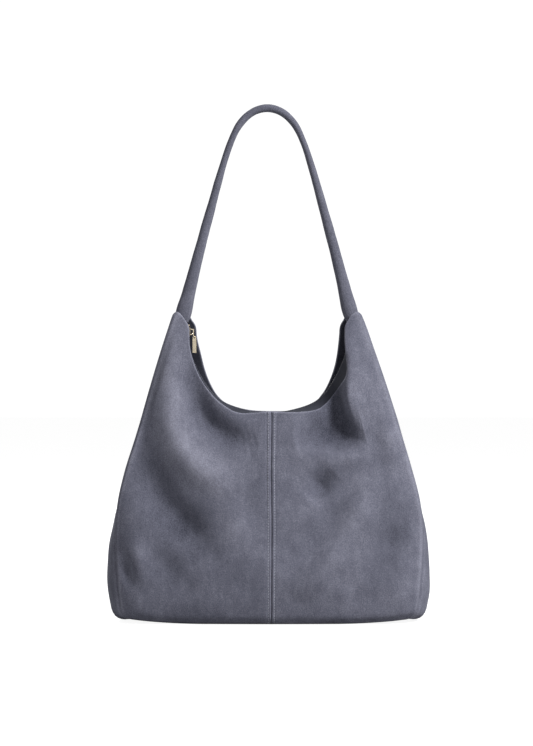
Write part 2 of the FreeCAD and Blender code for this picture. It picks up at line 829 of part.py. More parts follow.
def strap_point(beta):
    """Centreline point and direction on the arch. beta is the turn from the apex, in radians."""
    apex, shoulder = strap_radii()
    turn = math.radians(size["strap_turn"])
    inner = min(beta, turn)
    x = apex * math.sin(inner)
    z = strap_apex() - apex * (1 - math.cos(inner))
    if beta > turn:
        x += shoulder * (math.sin(beta) - math.sin(turn))
        z -= shoulder * (math.cos(turn) - math.cos(beta))
    return Vector(x, 0, z), Vector(-math.cos(beta), 0, math.sin(beta))


def strap_size(z):
    """Width and depth of the strap's section on a leg at height z."""
    share = (z - size["body_height"]) / size["strap_taper_length"]
    share = min(1.0, max(0.0, share))
    blend = (1 - share) ** 2.2
    thin = size["strap_diameter"]
    return thin + (size["strap_root_width"] - thin) * blend, thin + (size["strap_root_depth"] - thin) * blend


def ellipse_wire(centre, direction, width, depth):
    """An ellipse across the strap: width in the XZ plane, depth along Y."""
    curve = Part.Ellipse(Vector(0, 0, 0), max(width, depth) / 2, min(width, depth) / 2)
    edge = curve.toShape()
    across = Vector(0, 1, 0).cross(direction)
    x_axis, y_axis = (across, Vector(0, 1, 0)) if width >= depth else (Vector(0, 1, 0), across)
    z_axis = x_axis.cross(y_axis)
    edge.Placement = Placement(centre, Rotation(x_axis, y_axis, z_axis, "XYZ"))
    return Part.Wire([edge])


def leg_station(z, shrink=0.0):
    tilt = strap_tilt()
    width, depth = strap_size(z)
    centre = Vector(strap_leg_x(z), 0, z)
    return ellipse_wire(centre, Vector(-math.sin(tilt), 0, math.cos(tilt)), width - shrink, depth - shrink)


def leg_heights(low, high, count):
    return [low + (high - low) * i / count for i in range(count + 1)]


def strap_ends():
    """Heights at which the bending neck starts and ends on a leg."""
    pivot = size["body_height"] + size["strap_pivot_rise"]
    half = size["strap_neck_length"] / 2
    return pivot - half, pivot + half


def make_strap():
    """Rolled suede cover with a filler cord, and on each leg a neck that bends and a root inside the ear."""
    gap = size["gap"]
    neck_low, neck_high = strap_ends()
    right = [leg_station(z) for z in leg_heights(neck_high + gap, strap_leg_end(), 6)]
    thin = size["strap_diameter"]
    end_turn = math.pi / 2 - strap_tilt()
    arch_right, arch_left = [], []
    for i in range(1, 8):
        beta = end_turn * (1 - i / 8)
        centre, direction = strap_point(beta)
        arch_right.append(ellipse_wire(centre, direction, thin, thin))
    centre, direction = strap_point(0)
    apex = ellipse_wire(centre, direction, thin, thin)
    half_wires = [*right, *arch_right, apex]
    half = Part.makeLoft(half_wires, True, False)
    core_radius = size["core_diameter"] / 2
    path = strap_path(neck_high + gap)
    hollow = path_tube(path, core_radius + gap / 2)
    filler = path_tube(path, core_radius)
    cover_right = half.cut(hollow)
    cover = cover_right.fuse(mirror_x(cover_right)).removeSplitter()
    keep_shape("strap_cover", cover)
    keep_shape("strap_core", filler.fuse(mirror_x(filler)).removeSplitter())

    neck = Part.makeLoft([leg_station(z) for z in leg_heights(neck_low, neck_high, 4)], True, False)
    keep_shape("strap_neck_right", neck)
    keep_shape("strap_neck_left", mirror_x(neck))
    root_heights = leg_heights(size["body_height"] - size["strap_root_reach"], neck_low - gap, 3)
    root = Part.makeLoft([leg_station(z) for z in root_heights], True, False)
    keep_shape("strap_root_right", root)
    keep_shape("strap_root_left", mirror_x(root))


def strap_path(low):
    """The right half of the centreline, from height low on the leg to the apex."""
    turn = math.radians(size["strap_turn"])
    end_turn = math.pi / 2 - strap_tilt()
    foot = Vector(strap_leg_x(low), 0, low)
    leg_end = strap_point(end_turn)[0]
    edges = [Part.makeLine(foot, leg_end)]
    for a, b in ((end_turn, turn), (turn, 0)):
        points = [strap_point(beta)[0] for beta in (a, (a + b) / 2, b)]
        edges.append(Part.Arc(*points).toShape())
    return Part.Wire(edges)


def path_tube(path, radius):
    start = path.Edges[0]
    direction = start.tangentAt(start.FirstParameter)
    profile = Part.Wire([Part.makeCircle(radius, start.Vertexes[0].Point, direction)])
    return path.makePipeShell([profile], True, False)


def main():
    make_panels()
    make_facings()
    make_lining_and_strips()
    make_gussets()
    make_base()
    make_tapes()
    make_teeth()
    make_slider()
    make_bridge()
    make_link()
    make_puller()
    make_stops()
    make_strap()
    doc.recompute()
    for item in doc.Objects:
        if "Invalid" in item.State or "Error" in item.State:
            raise RuntimeError(f"{item.Label} failed: {item.State}")
    os.makedirs("parts", exist_ok=True)
    for item in sub_parts:
        shape = item.Shape
        if shape.isNull() or not shape.isValid() or not shape.Solids:
            raise RuntimeError(f"{item.Label} has no valid solid")
        shape.exportStep(f"parts/{item.Label}.step")
        print(item.Label, len(shape.Solids), round(shape.Volume, 1))


main()
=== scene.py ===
import json
import math

import bpy
import numpy as np
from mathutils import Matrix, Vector, noise


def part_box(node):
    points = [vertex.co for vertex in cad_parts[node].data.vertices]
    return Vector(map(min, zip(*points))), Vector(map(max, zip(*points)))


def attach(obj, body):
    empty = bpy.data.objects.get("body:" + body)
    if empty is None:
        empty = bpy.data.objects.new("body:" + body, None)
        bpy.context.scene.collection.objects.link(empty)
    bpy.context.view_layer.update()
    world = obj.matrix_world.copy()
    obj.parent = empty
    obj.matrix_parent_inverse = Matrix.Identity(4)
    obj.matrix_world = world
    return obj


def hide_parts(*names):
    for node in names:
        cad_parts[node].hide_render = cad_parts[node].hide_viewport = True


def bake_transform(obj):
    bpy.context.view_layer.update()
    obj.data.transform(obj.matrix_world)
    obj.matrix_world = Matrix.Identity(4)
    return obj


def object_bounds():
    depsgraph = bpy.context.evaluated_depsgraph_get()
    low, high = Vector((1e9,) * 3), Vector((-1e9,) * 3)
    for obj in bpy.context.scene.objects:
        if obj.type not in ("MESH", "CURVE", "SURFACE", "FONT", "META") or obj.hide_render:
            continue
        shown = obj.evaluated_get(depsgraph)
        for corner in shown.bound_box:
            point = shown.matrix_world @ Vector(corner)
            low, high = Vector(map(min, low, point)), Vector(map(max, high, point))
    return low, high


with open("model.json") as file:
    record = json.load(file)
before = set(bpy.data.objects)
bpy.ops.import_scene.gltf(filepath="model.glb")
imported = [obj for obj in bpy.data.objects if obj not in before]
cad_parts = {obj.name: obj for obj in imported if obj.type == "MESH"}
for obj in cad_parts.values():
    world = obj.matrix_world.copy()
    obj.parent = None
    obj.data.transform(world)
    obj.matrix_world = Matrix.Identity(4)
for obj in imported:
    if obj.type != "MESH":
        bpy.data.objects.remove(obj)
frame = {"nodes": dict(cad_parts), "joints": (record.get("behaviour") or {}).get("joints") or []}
cad_low, cad_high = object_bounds()

# A suede hobo bag. Shapes are worked out in millimetres in the frame's axes: front is -Y, +Z is up.
MM = 0.001
JOINTS = {joint["name"]: joint for joint in frame["joints"]}
EAR_ABOVE_GUSSET = 30.0
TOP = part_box("gusset_right")[1].z / MM + EAR_ABOVE_GUSSET
ZIP_CENTRE = JOINTS["zip_travel"]["pos_m"][2] / MM
ZIP_RADIUS = 100.0
ZIP_END = math.radians(97)
STRAP_TOP = cad_high.z / MM
# thickness of each layer
SUEDE, FACING, CLOTH, BOARD_THICK, TAPE_THICK = 1.6, 1.2, 0.6, 1.8, 0.7
SEAM_X = 3.0  # the centre seam runs a little to the right of the middle
# how far the soft bag leans towards +X: (height, shift)
LEAN = [(-30, 0.8), (0, 0.8), (60, 0.8), (120, 1.1), (190, 0.3), (250, 1.0)]
LEAN += [(300, 0.1), (340, -0.8), (365, -1.0), (388, -1.8), (430, -1.6), (700, -1.6)]
SIDES = {"left": -1, "right": 1}
FACES = ("front", "back")


# ---------------------------------------- small helpers


def smooth_line(knots, count):
    """count points, evenly spaced, on a smooth curve through the knots."""
    knots = np.array(knots, float)
    dense = catmull_rom(knots, 24)
    return resample(dense, np.linspace(0, 1, count))


def catmull_rom(knots, steps):
    """A Catmull-Rom curve with chord-length spacing through the knots."""
    ends = np.vstack([2 * knots[0] - knots[1], knots, 2 * knots[-1] - knots[-2]])
    gaps = np.sqrt(np.linalg.norm(np.diff(ends, axis=0), axis=1)) + 1e-9
    times = np.concatenate([[0], np.cumsum(gaps)])
    out = []
    for i in range(1, len(ends) - 2):
        t = np.linspace(times[i], times[i + 1], steps, endpoint=False)[:, None]
        p0, p1, p2, p3 = ends[i - 1 : i + 3]
        t0, t1, t2, t3 = times[i - 1 : i + 3]
        a1 = (t1 - t) / (t1 - t0) * p0 + (t - t0) / (t1 - t0) * p1
        a2 = (t2 - t) / (t2 - t1) * p1 + (t - t1) / (t2 - t1) * p2
        a3 = (t3 - t) / (t3 - t2) * p2 + (t - t2) / (t3 - t2) * p3
        b1 = (t2 - t) / (t2 - t0) * a1 + (t - t0) / (t2 - t0) * a2
        b2 = (t3 - t) / (t3 - t1) * a2 + (t - t1) / (t3 - t1) * a3
        out.append((t2 - t) / (t2 - t1) * b1 + (t - t1) / (t2 - t1) * b2)
    out.append(knots[-1:])
    return np.vstack(out)


def resample(points, shares):
    """Points at the given shares of a polyline's length."""
    steps = np.linalg.norm(np.diff(points, axis=0), axis=1)
    along = np.concatenate([[0], np.cumsum(steps)]) / steps.sum()
    return np.stack([np.interp(shares, along, points[:, k]) for k in range(points.shape[1])], axis=-1)


def curve_of(knots):
    """A smooth function through (place, value) knots."""
    line = catmull_rom(np.array(knots, float), 16)
    order = np.argsort(line[:, 0])
    return lambda at: np.interp(at, line[order, 0], line[order, 1])


def unit(vectors):
    """Vectors made one long, along the last axis."""
    return vectors / np.maximum(np.linalg.norm(vectors, axis=-1, keepdims=True), 1e-9)


def bell(distance, width):
    """1 at no distance, and about a third at one width from it."""
    return np.exp(-((distance / width) ** 2))


def way_of(face):
    """The direction along Y that a face of the bag looks in."""
    return 1 if face == "back" else -1


def fade(value, low, high):
    """0 below low, 1 above high, smooth between."""
    t = np.clip((value - low) / (high - low), 0, 1)
    return t * t * (3 - 2 * t)


def lumps(points, size, seed):
    """Smooth noise from -1 to 1 at points in mm, with lumps of about that size in mm."""
    offset = Vector((seed * 17.3, seed * -9.1, seed * 4.7))
    flat = points.reshape(-1, 3) / size
    values = [noise.noise(Vector(p) + offset) for p in flat]
    return np.array(values).reshape(points.shape[:-1])


def grid_normals(grid):
    """Unit normals of a grid of points, by differences along its two ways."""
    across = np.gradient(grid, axis=1)
    up = np.gradient(grid, axis=0)
    return unit(np.cross(across, up))


def lean(points):
    """Points moved sideways by the bag's lean at their height."""
    moved = np.array(points, float)
    moved[..., 0] += np.interp(moved[..., 2], *np.array(LEAN).T)
    return moved


# ---------------------------------------- meshes


RIM_BULGE = 0.35  # of a sheet's thickness
RIM_WEAR = 0.3


def make_object(name, vertices, faces, material, attributes=()):
    """A smooth-shaded mesh object from points in mm."""
    mesh = bpy.data.meshes.new(name)
    mesh.from_pydata((np.asarray(vertices) * MM).tolist(), [], faces)
    mesh.polygons.foreach_set("use_smooth", [True] * len(mesh.polygons))
    for key, values in attributes:
        layer = mesh.attributes.new(key, "FLOAT", "POINT")
        layer.data.foreach_set("value", np.asarray(values, np.float32))
    mesh.materials.append(material)
    mesh.update()
    piece = bpy.data.objects.new(name, mesh)
    bpy.context.scene.collection.objects.link(piece)
    return piece


def grid_faces(rows, columns, start=0, flip=False):
    faces = []
    for i in range(rows - 1):
        for j in range(columns - 1):
            a = start + i * columns + j
            face = [a, a + 1, a + columns + 1, a + columns]
            faces.append(face[::-1] if flip else face)
    return faces


def border(rows, columns):
    """Indices round a grid's edge, in order."""
    low = list(range(columns))
    right = [i * columns + columns - 1 for i in range(1, rows)]
    high = [(rows - 1) * columns + j for j in range(columns - 2, -1, -1)]
    left = [i * columns for i in range(rows - 2, 0, -1)]
    return low + right + high + left


def shell(name, grid, outward, inset, thickness, material, tone=0.0, wear=0.0):
    """A closed sheet with a rounded rim. It lies inset below the grid's outward side."""
    rows, columns = grid.shape[:2]
    outer = lean(grid) - outward * inset
    inner = outer - outward * thickness
    ring = border(rows, columns)
    flat_outer, flat_inner = outer.reshape(-1, 3), inner.reshape(-1, 3)
    middle = (flat_outer[ring] + flat_inner[ring]) / 2
    away = edge_directions(flat_outer[ring], outward.reshape(-1, 3)[ring])
    middle += away * thickness * RIM_BULGE
    vertices = np.vstack([flat_outer, flat_inner, middle])
    faces = grid_faces(rows, columns) + grid_faces(rows, columns, rows * columns, True)
    faces += rim_faces(ring, rows * columns)
    attributes = []
    for key, values, on_rim in (("tone", tone, 0.0), ("wear", wear, RIM_WEAR)):
        flat = np.broadcast_to(values, (rows, columns)).ravel()
        attributes.append((key, np.concatenate([flat, flat, flat[ring] + on_rim])))
    piece = make_object(name, vertices, faces, material, attributes)
    make_normals_outward(piece)
    return piece


def rim_faces(ring, count):
    """Faces over the rim, from the outer sheet to the inner one. count is the points of one sheet."""
    faces = []
    for k, index in enumerate(ring):
        after = (k + 1) % len(ring)
        faces.append([ring[after], index, 2 * count + k, 2 * count + after])
        faces.append([2 * count + after, 2 * count + k, count + index, count + ring[after]])
    return faces


def edge_directions(ring, normals):
    """Directions that point out of a sheet across its rim."""
    along = np.roll(ring, -1, axis=0) - np.roll(ring, 1, axis=0)
    return unit(np.cross(along, normals))


def make_normals_outward(piece):
    """Turns a closed mesh's faces outward."""
    mesh = piece.data
    corners = np.zeros(len(mesh.vertices) * 3)
    mesh.vertices.foreach_get("co", corners)
    mesh.calc_loop_triangles()
    triangles = np.zeros(len(mesh.loop_triangles) * 3, np.int32)
    mesh.loop_triangles.foreach_get("vertices", triangles)
    a, b, c = np.moveaxis(corners.reshape(-1, 3)[triangles.reshape(-1, 3)], 1, 0)
    if (a * np.cross(b, c)).sum() < 0:
        mesh.flip_normals()


def sew_to_bag(piece, slot, *nodes):
    """The piece moves with the bag's body and stands for the CAD nodes, which it hides. slot is not used."""
    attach(piece, "bag")
    if nodes:
        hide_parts(*nodes)


# ---------------------------------------- materials


def new_material(name):
    material = bpy.data.materials.new(name)
    material.use_nodes = True
    nodes, links = material.node_tree.nodes, material.node_tree.links
    return material, nodes, links, nodes["Principled BSDF"]


def texture_place(nodes):
    return nodes.new("ShaderNodeTexCoord").outputs["Object"]


def noise_node(nodes, links, place, scale, detail=4.0, rough=0.55, distortion=0.0, stretch=None):
    """A noise texture. scale is in lumps per metre."""
    if stretch:
        mapping = nodes.new("ShaderNodeMapping")
        mapping.inputs["Scale"].default_value = stretch
        links.new(place, mapping.inputs["Vector"])
        place = mapping.outputs["Vector"]
    texture = nodes.new("ShaderNodeTexNoise")
    texture.inputs["Scale"].default_value = scale
    texture.inputs["Detail"].default_value = detail
    texture.inputs["Roughness"].default_value = rough
    texture.inputs["Distortion"].default_value = distortion
    links.new(place, texture.inputs["Vector"])
    return texture.outputs["Fac"]


def maths(nodes, links, operation, a, b):
    node = nodes.new("ShaderNodeMath")
    node.operation = operation
    for socket, value in zip(node.inputs, (a, b)):
        if isinstance(value, (int, float)):
            socket.default_value = value
        else:
            links.new(value, socket)
    return node.outputs[0]


def weighted_sum(nodes, links, terms):
    """0.5 plus each (output, centre, weight) term's distance from its centre times its weight."""
    total = None
    for output, centre, weight in terms:
        part = maths(nodes, links, "MULTIPLY", maths(nodes, links, "SUBTRACT", output, centre), weight)
        total = part if total is None else maths(nodes, links, "ADD", total, part)
    return maths(nodes, links, "ADD", total, 0.5)


def ramp(nodes, links, factor, stops):
    node = nodes.new("ShaderNodeValToRGB")
    links.new(factor, node.inputs["Fac"])
    elements = node.color_ramp.elements
    while len(elements) < len(stops):
        elements.new(0.5)
    for element, (place, colour) in zip(elements, stops):
        element.position = place
        element.color = (*colour, 1.0)
    return node.outputs["Color"]


def attribute(nodes, name):
    node = nodes.new("ShaderNodeAttribute")
    node.attribute_name = name
    return node.outputs["Fac"]


def add_bump(nodes, links, shader, terms):
    """A chain of bumps, each (height output, strength, distance in metres)."""
    normal = None
    for height, strength, distance in terms:
        bump = nodes.new("ShaderNodeBump")
        bump.inputs["Strength"].default_value = strength
        bump.inputs["Distance"].default_value = distance
        links.new(height, bump.inputs["Height"])
        if normal is not None:
            links.new(normal, bump.inputs["Normal"])
        normal = bump.outputs["Normal"]
    links.new(normal, shader.inputs["Normal"])


def suede_material(name, dark, middle, light, mottling=1.0):
    """Brushed suede: cloudy nap, fine fibres, paler where it is rubbed."""
    material, nodes, links, shader = new_material(name)
    place = texture_place(nodes)
    clouds = noise_node(nodes, links, place, 16, 3, 0.5, 0.7)
    patches = noise_node(nodes, links, place, 48, 4, 0.6, 0.4)
    brushed = noise_node(nodes, links, place, 120, 4, 0.6, 0.2, (1.0, 1.0, 0.35))
    nap = noise_node(nodes, links, place, 700, 3, 0.6)
    fibre = noise_node(nodes, links, place, 2400, 2, 0.6)
    terms = [(clouds, 0.5, 0.35 * mottling), (patches, 0.5, 0.3 * mottling), (brushed, 0.5, 0.3 * mottling)]
    terms += [(nap, 0.5, 0.8), (fibre, 0.5, 0.5)]
    # The tone attribute holds random mottling together with painted light and painted shade; the wear
    # attribute makes rubbed edges paler.
    terms += [(attribute(nodes, key), 0.0, 0.5) for key in ("tone", "wear")]
    shade = weighted_sum(nodes, links, terms)
    colour = ramp(nodes, links, shade, [(0.0, dark), (0.5, middle), (1.0, light)])
    links.new(colour, shader.inputs["Base Color"])
    shader.inputs["Roughness"].default_value = 0.95
    shader.inputs["Specular IOR Level"].default_value = 0.15
    shader.inputs["Sheen Weight"].default_value = 0.12
    shader.inputs["Sheen Roughness"].default_value = 0.5
    shader.inputs["Sheen Tint"].default_value = (0.62, 0.64, 0.74, 1.0)
    add_bump(nodes, links, shader, [(patches, 0.12, 0.002), (nap, 0.4, 0.0006), (fibre, 0.35, 0.0003)])
    return material


def cloth_material(name, colour, thread, weave=1500.0):
    """Plain woven cloth: crossing threads with slight colour variation."""
    material, nodes, links, shader = new_material(name)
    place = texture_place(nodes)
    waves = []
    for direction in ("X", "Z"):
        wave = nodes.new("ShaderNodeTexWave")
        wave.wave_type = "BANDS"
        wave.bands_direction = direction
        wave.inputs["Scale"].default_value = weave / 6.3
        wave.inputs["Distortion"].default_value = 0.4
        links.new(place, wave.inputs["Vector"])
        waves.append(wave.outputs["Fac"])
    threads = maths(nodes, links, "MULTIPLY", waves[0], waves[1])
    cloud = noise_node(nodes, links, place, 60, 4, 0.6)
    shade = weighted_sum(nodes, links, [(threads, 0.3, 0.5), (cloud, 0.5, 0.6)])
    links.new(ramp(nodes, links, shade, [(0.1, colour), (0.9, thread)]), shader.inputs["Base Color"])
    shader.inputs["Roughness"].default_value = 0.85
    shader.inputs["Specular IOR Level"].default_value = 0.25
    add_bump(nodes, links, shader, [(threads, 0.5, 0.0003)])
    return material


def metal_material(name, colour, dull):
    """Polished plated metal with faint wear and fine scratches."""
    material, nodes, links, shader = new_material(name)
    place = texture_place(nodes)
    cloud = noise_node(nodes, links, place, 140, 3, 0.5)
    scratch = noise_node(nodes, links, place, 2600, 3, 0.7, 0.0, (1.0, 1.0, 0.06))
    shade = weighted_sum(nodes, links, [(cloud, 0.5, 0.8), (scratch, 0.5, 0.25)])
    links.new(ramp(nodes, links, shade, [(0.1, dull), (0.7, colour)]), shader.inputs["Base Color"])
    rough = ramp(nodes, links, shade, [(0.0, (0.26, 0.26, 0.26)), (1.0, (0.16, 0.16, 0.16))])
    links.new(rough, shader.inputs["Roughness"])
    shader.inputs["Metallic"].default_value = 1.0
    add_bump(nodes, links, shader, [(scratch, 0.04, 0.0001)])
    return material


def grained_material(name, dark, light, grain, spread, roughness, bump, sheen=0.0):
    """A plain surface with a fine grain in its colour and its height.

    grain is the noise's scale, detail and roughness, and spread is how far from
    the noise's middle the dark and light colours are. bump is (strength, distance in metres).
    """
    material, nodes, links, shader = new_material(name)
    level = noise_node(nodes, links, texture_place(nodes), *grain)
    colour = ramp(nodes, links, level, [(0.5 - spread, dark), (0.5 + spread, light)])
    links.new(colour, shader.inputs["Base Color"])
    shader.inputs["Roughness"].default_value = roughness
    shader.inputs["Sheen Weight"].default_value = sheen
    add_bump(nodes, links, shader, [(level, *bump)])
    return material


# dark, middle and light colour of each suede
BODY_COLOURS = [(0.034, 0.036, 0.052), (0.128, 0.131, 0.171), (0.28, 0.282, 0.345)]
# The strap is cut from the body's suede but coloured darker: painted shade.
SHADED_STRAP_COLOURS = [(0.032, 0.033, 0.044), (0.112, 0.114, 0.148), (0.24, 0.242, 0.30)]
# The facings are cut from the body's suede but coloured much darker: painted shade inside the mouth.
SHADED_FACING_COLOURS = [(0.014, 0.015, 0.022), (0.034, 0.036, 0.05), (0.085, 0.088, 0.11)]
suede = suede_material("suede", *BODY_COLOURS)
strap_suede = suede_material("strap_suede", *SHADED_STRAP_COLOURS, mottling=0.7)
facing_suede = suede_material("facing_suede", *SHADED_FACING_COLOURS, mottling=0.6)
lining_cloth = cloth_material("lining_cloth", (0.045, 0.05, 0.07), (0.08, 0.085, 0.115))
strip_cloth = cloth_material("strip_cloth", (0.04, 0.042, 0.06), (0.07, 0.075, 0.10), weave=900.0)
tape_cloth = cloth_material("tape_cloth", (0.028, 0.03, 0.04), (0.052, 0.055, 0.074), weave=2200.0)
filler_cloth = cloth_material("filler_cloth", (0.50, 0.48, 0.43), (0.72, 0.70, 0.64), weave=800.0)
pale_gold = metal_material("pale_gold", (0.90, 0.80, 0.62), (0.72, 0.60, 0.42))
NYLON = (0.035, 0.038, 0.055), (0.065, 0.07, 0.095)
THREAD = (0.22, 0.225, 0.28), (0.42, 0.43, 0.50)
BOARD = (0.20, 0.15, 0.10), (0.34, 0.27, 0.19)
zip_nylon = grained_material("zip_nylon", *NYLON, (500, 4, 0.6), 0.2, 0.45, (0.15, 0.0002))
thread = grained_material("thread", *THREAD, (2200, 2, 0.5), 0.2, 0.7, (0.5, 0.0002), 0.2)
fibreboard = grained_material("fibreboard", *BOARD, (900, 5, 0.7), 0.15, 0.9, (0.3, 0.0003))


# ---------------------------------------- the bag's outline and depth


BASE_CORNER = 18.0
BASE_STRAIGHT = 165.0


def base_rise(x):
    """The underside curves up a little towards its ends."""
    flat_half, curve_length, rise = 80, 90, 4.6
    return rise * np.clip((np.abs(x) - flat_half) / curve_length, 0, 1.3) ** 2


def base_corner(turn):
    """Points (x, z) of the base's rounded corner. turn is from the right, in radians."""
    centre_z = base_rise(BASE_STRAIGHT) + BASE_CORNER
    return np.stack([BASE_STRAIGHT + BASE_CORNER * np.cos(turn), centre_z + BASE_CORNER * np.sin(turn)], -1)


def side_line():
    """Panel's side edge from the base's corner to the ear's top: (x, z) points."""
    corner = base_corner(np.radians(np.linspace(-45, 0, 12)))
    knots = [(185.5, 40), (188.5, 75), (190, 105), (189.2, 130), (185.8, 156), (177, 191), (165.8, 228)]
    knots += [(154.8, 266), (143.7, 303), (131.9, 340), (123.4, 366), (119.8, 376), (117.4, 381.6)]
    knots.append((113.4, TOP - 0.6))
    upper = catmull_rom(np.array([corner[-1], *knots], float), 12)
    return np.vstack([corner[:-1], upper])


def bottom_line(start):
    """Panel's bottom edge from the centre seam to the middle of the base's corner."""
    x = np.linspace(start, BASE_STRAIGHT, 60)
    corner = base_corner(np.radians(np.linspace(-90, -45, 12))[1:])
    return np.vstack([np.stack([x, base_rise(x)], -1), corner])


def mouth_line(scoop, start):
    """Mouth's edge from the centre seam to the ear's top. scoop is half of it, below its widest place."""
    widest = scoop[-1][0]
    ear = [
        (widest + 0.2, ZIP_CENTRE + 5),
        (widest + 1.6, ZIP_CENTRE + 11),
        (widest + 5, ZIP_CENTRE + 16.5),
        (widest + 9, TOP - 5.4),
        (109.4, TOP - 2.2),
        (113.4, TOP - 0.6),
    ]
    line = catmull_rom(np.array([(-8, scoop[0][1]), *scoop, *ear], float), 12)
    beyond = line[line[:, 0] > start]
    z = np.interp(start, line[:30, 0], line[:30, 1])
    return np.vstack([[(start, z)], beyond])


SIDE = side_line()
side_x = curve_of([(z, x) for x, z in SIDE[::6]])
# (height, depth from the middle plane) in the bag's middle, and how much less it is at the sides
MIDDLE_DEPTH = [(-20, 52), (0, 57), (28, 62.5), (62, 64.5), (110, 57.5), (180, 45.5)]
MIDDLE_DEPTH += [(263, 32), (320, 22), (365, 13.2), (390, 8.6)]
middle_depth = curve_of(MIDDLE_DEPTH)
crown = curve_of([(-20, 12), (0, 13), (60, 20), (150, 15), (250, 9), (330, 4), (390, 0.6)])
BASE_ROLL = 12.0
SIDE_ROLL, SIDE_ROLL_WIDTH = 8.0, 34.0


def plain_depth(x, z):
    """Distance of the panel's outer side from the middle plane, without folds."""
    depth = middle_depth(z) - crown(z) * (x / 220) ** 2
    from_side = np.clip(side_x(z) - np.abs(x), 0, None)
    rolled = np.clip(1 - from_side / SIDE_ROLL_WIDTH, 0, 1) ** 2.2
    depth -= SIDE_ROLL * rolled * np.clip(middle_depth(z) / 55 - 0.15, 0, 1)
    above = np.clip(z - base_rise(x), 0, BASE_ROLL)
    depth -= BASE_ROLL - np.sqrt(np.clip(BASE_ROLL**2 - (BASE_ROLL - above) ** 2, 0, None))
    return depth


# ---------------------------------------- folds


FOLD_STEPS = 48


def fold(x, z, knots, heights, left, right):
    """A soft ridge along a line, or a hollow where heights are negative.

    left and right are its widths on the two sides of the line, as seen along it.
    """
    line = smooth_line(knots, FOLD_STEPS)
    shares = np.linspace(0, 1, FOLD_STEPS)
    levels = np.interp(shares, np.linspace(0, 1, len(heights)), heights)
    ahead = unit(np.gradient(line, axis=0))
    place = np.stack([x.ravel(), z.ravel()], -1)
    away = place[:, None, :] - line[None, :, :]
    nearest = np.argmin((away**2).sum(-1), axis=1)
    gap = away[np.arange(len(place)), nearest]
    distance = np.linalg.norm(gap, axis=1)
    side = ahead[nearest, 0] * gap[:, 1] - ahead[nearest, 1] * gap[:, 0]
    width = np.where(side > 0, left, right)
    return (levels[nearest] * bell(distance, width)).reshape(x.shape)


# Each fold is its line of (x, z) points, its heights along the line, and its widths left and right of it.
# On the left a ridge hangs from the ear and turns towards the middle, with a hollow on each side.
LEFT_FOLDS = [
    ([(-114, 375), (-120, 305), (-120, 241), (-92, 198), (-30, 164)], [1, 8, 12, 12, 0], 20, 22),
    ([(-164, 250), (-152, 205), (-128, 152), (-64, 76)], [0, -9, -14, 0], 20, 26),
    ([(-100, 322), (-92, 280), (-74, 248), (-46, 228), (-12, 222)], [-1, -8, -14, -10, 0], 16, 16),
    ([(-60, 160), (-40, 116), (-20, 80)], [0, 4, 0], 22, 22),
    ([(-172, 120), (-160, 80), (-150, 45)], [0, 5, 0], 14, 14),
    ([(-182, 90), (-173, 62), (-166, 40)], [0, -5, 0], 9, 9),
    ([(-150, 110), (-120, 66), (-90, 40)], [0, -6, 0], 18, 18),
]
# On the right a deep fold drops from the mouth and runs out into a hollow with a crease under it.
RIGHT_FOLDS = [
    ([(93, 338), (86, 308), (84, 280), (89, 254), (106, 229)], [0, -11, -16, -12, 0], 8, 22),
    ([(118, 233), (99, 228), (78, 226), (56, 226), (32, 224)], [0, -12, -15, -9, 0], 12, 27),
    ([(106, 382), (100, 310), (99, 270), (120, 222)], [0, 6, 7, 0], 24, 9),
    ([(134, 224), (104, 207), (62, 197)], [0, 5, 0], 15, 10),
    ([(82, 186), (66, 172), (48, 152)], [0, -10, 0], 13, 15),
    ([(152, 276), (150, 225), (154, 185)], [0, 4, 0], 12, 14),
    ([(134, 200), (110, 140), (66, 70), (30, 34)], [0, 6, 6, 0], 18, 20),
    ([(106, 176), (72, 118), (34, 76)], [0, -5, 0], 16, 16),
    ([(170, 150), (148, 96), (118, 48)], [0, -6, 0], 17, 17),
]


def front_folds(x, z):
    return sum(fold(x, z, *each) for each in LEFT_FOLDS + RIGHT_FOLDS)


def back_folds(x, z):
    """Quieter folds of the back, which hang from both ears."""
    total = np.zeros_like(x)
    for side, reach in ((-1, 0.8), (1, 1.0)):
        ridge = [(side * 111, 372), (side * 112, 300), (side * 98, 235), (side * 66, 180)]
        hollow = [(side * 84, 298), (side * 70, 258), (side * 50, 236)]
        low = [(side * 150, 200), (side * 120, 140), (side * 70, 90)]
        total += fold(x, z, ridge, [1, 5 * reach, 6, 0], 20, 18)
        total += fold(x, z, hollow, [-1, -6 * reach, 0], 16, 16)
        total += fold(x, z, low, [0, -4, 0], 20, 20)
    return total


FOLDS = {"front": front_folds, "back": back_folds}


def soften(x, z):
    """Folds die out at the base, at the seams and at the ears' tops."""
    at_base = fade(z - base_rise(x), 4, 34)
    at_side = fade(side_x(z) - np.abs(x), 0, 14)
    at_ear = 1 - fade(z, TOP - 30, TOP - 4)
    return at_base * (0.25 + 0.75 * at_side) * at_ear


# ---------------------------------------- suede panels


ROWS, COLUMNS = 108, 92
SEAM_GAP = 0.12
STITCH_OFFSET = 3.5
PANEL_SEEDS = {"front": 2, "back": 7}


def spaced(count, near_start, near_end):
    """Shares from 0 to 1, even but with extra ones close to both ends."""
    even = np.linspace(0, 1, count)
    extra = np.concatenate([near_start, 1 - np.array(near_end)])
    shares = np.unique(np.round(np.concatenate([even, extra]), 6))
    keep = np.concatenate([[True], np.diff(shares) > 0.0012])
    keep[-1] = True
    return shares[keep]


# distances from an edge, in mm, at which the panels' grids have extra lines
EDGE_MM = np.array([0.3, 0.7, 1.2, 1.8, 2.5, 3.3, 4.2, 5.5, 7.5])
U = spaced(COLUMNS, EDGE_MM / 187, EDGE_MM / 170)
V = spaced(ROWS, EDGE_MM[2:] / 300, EDGE_MM / 300)


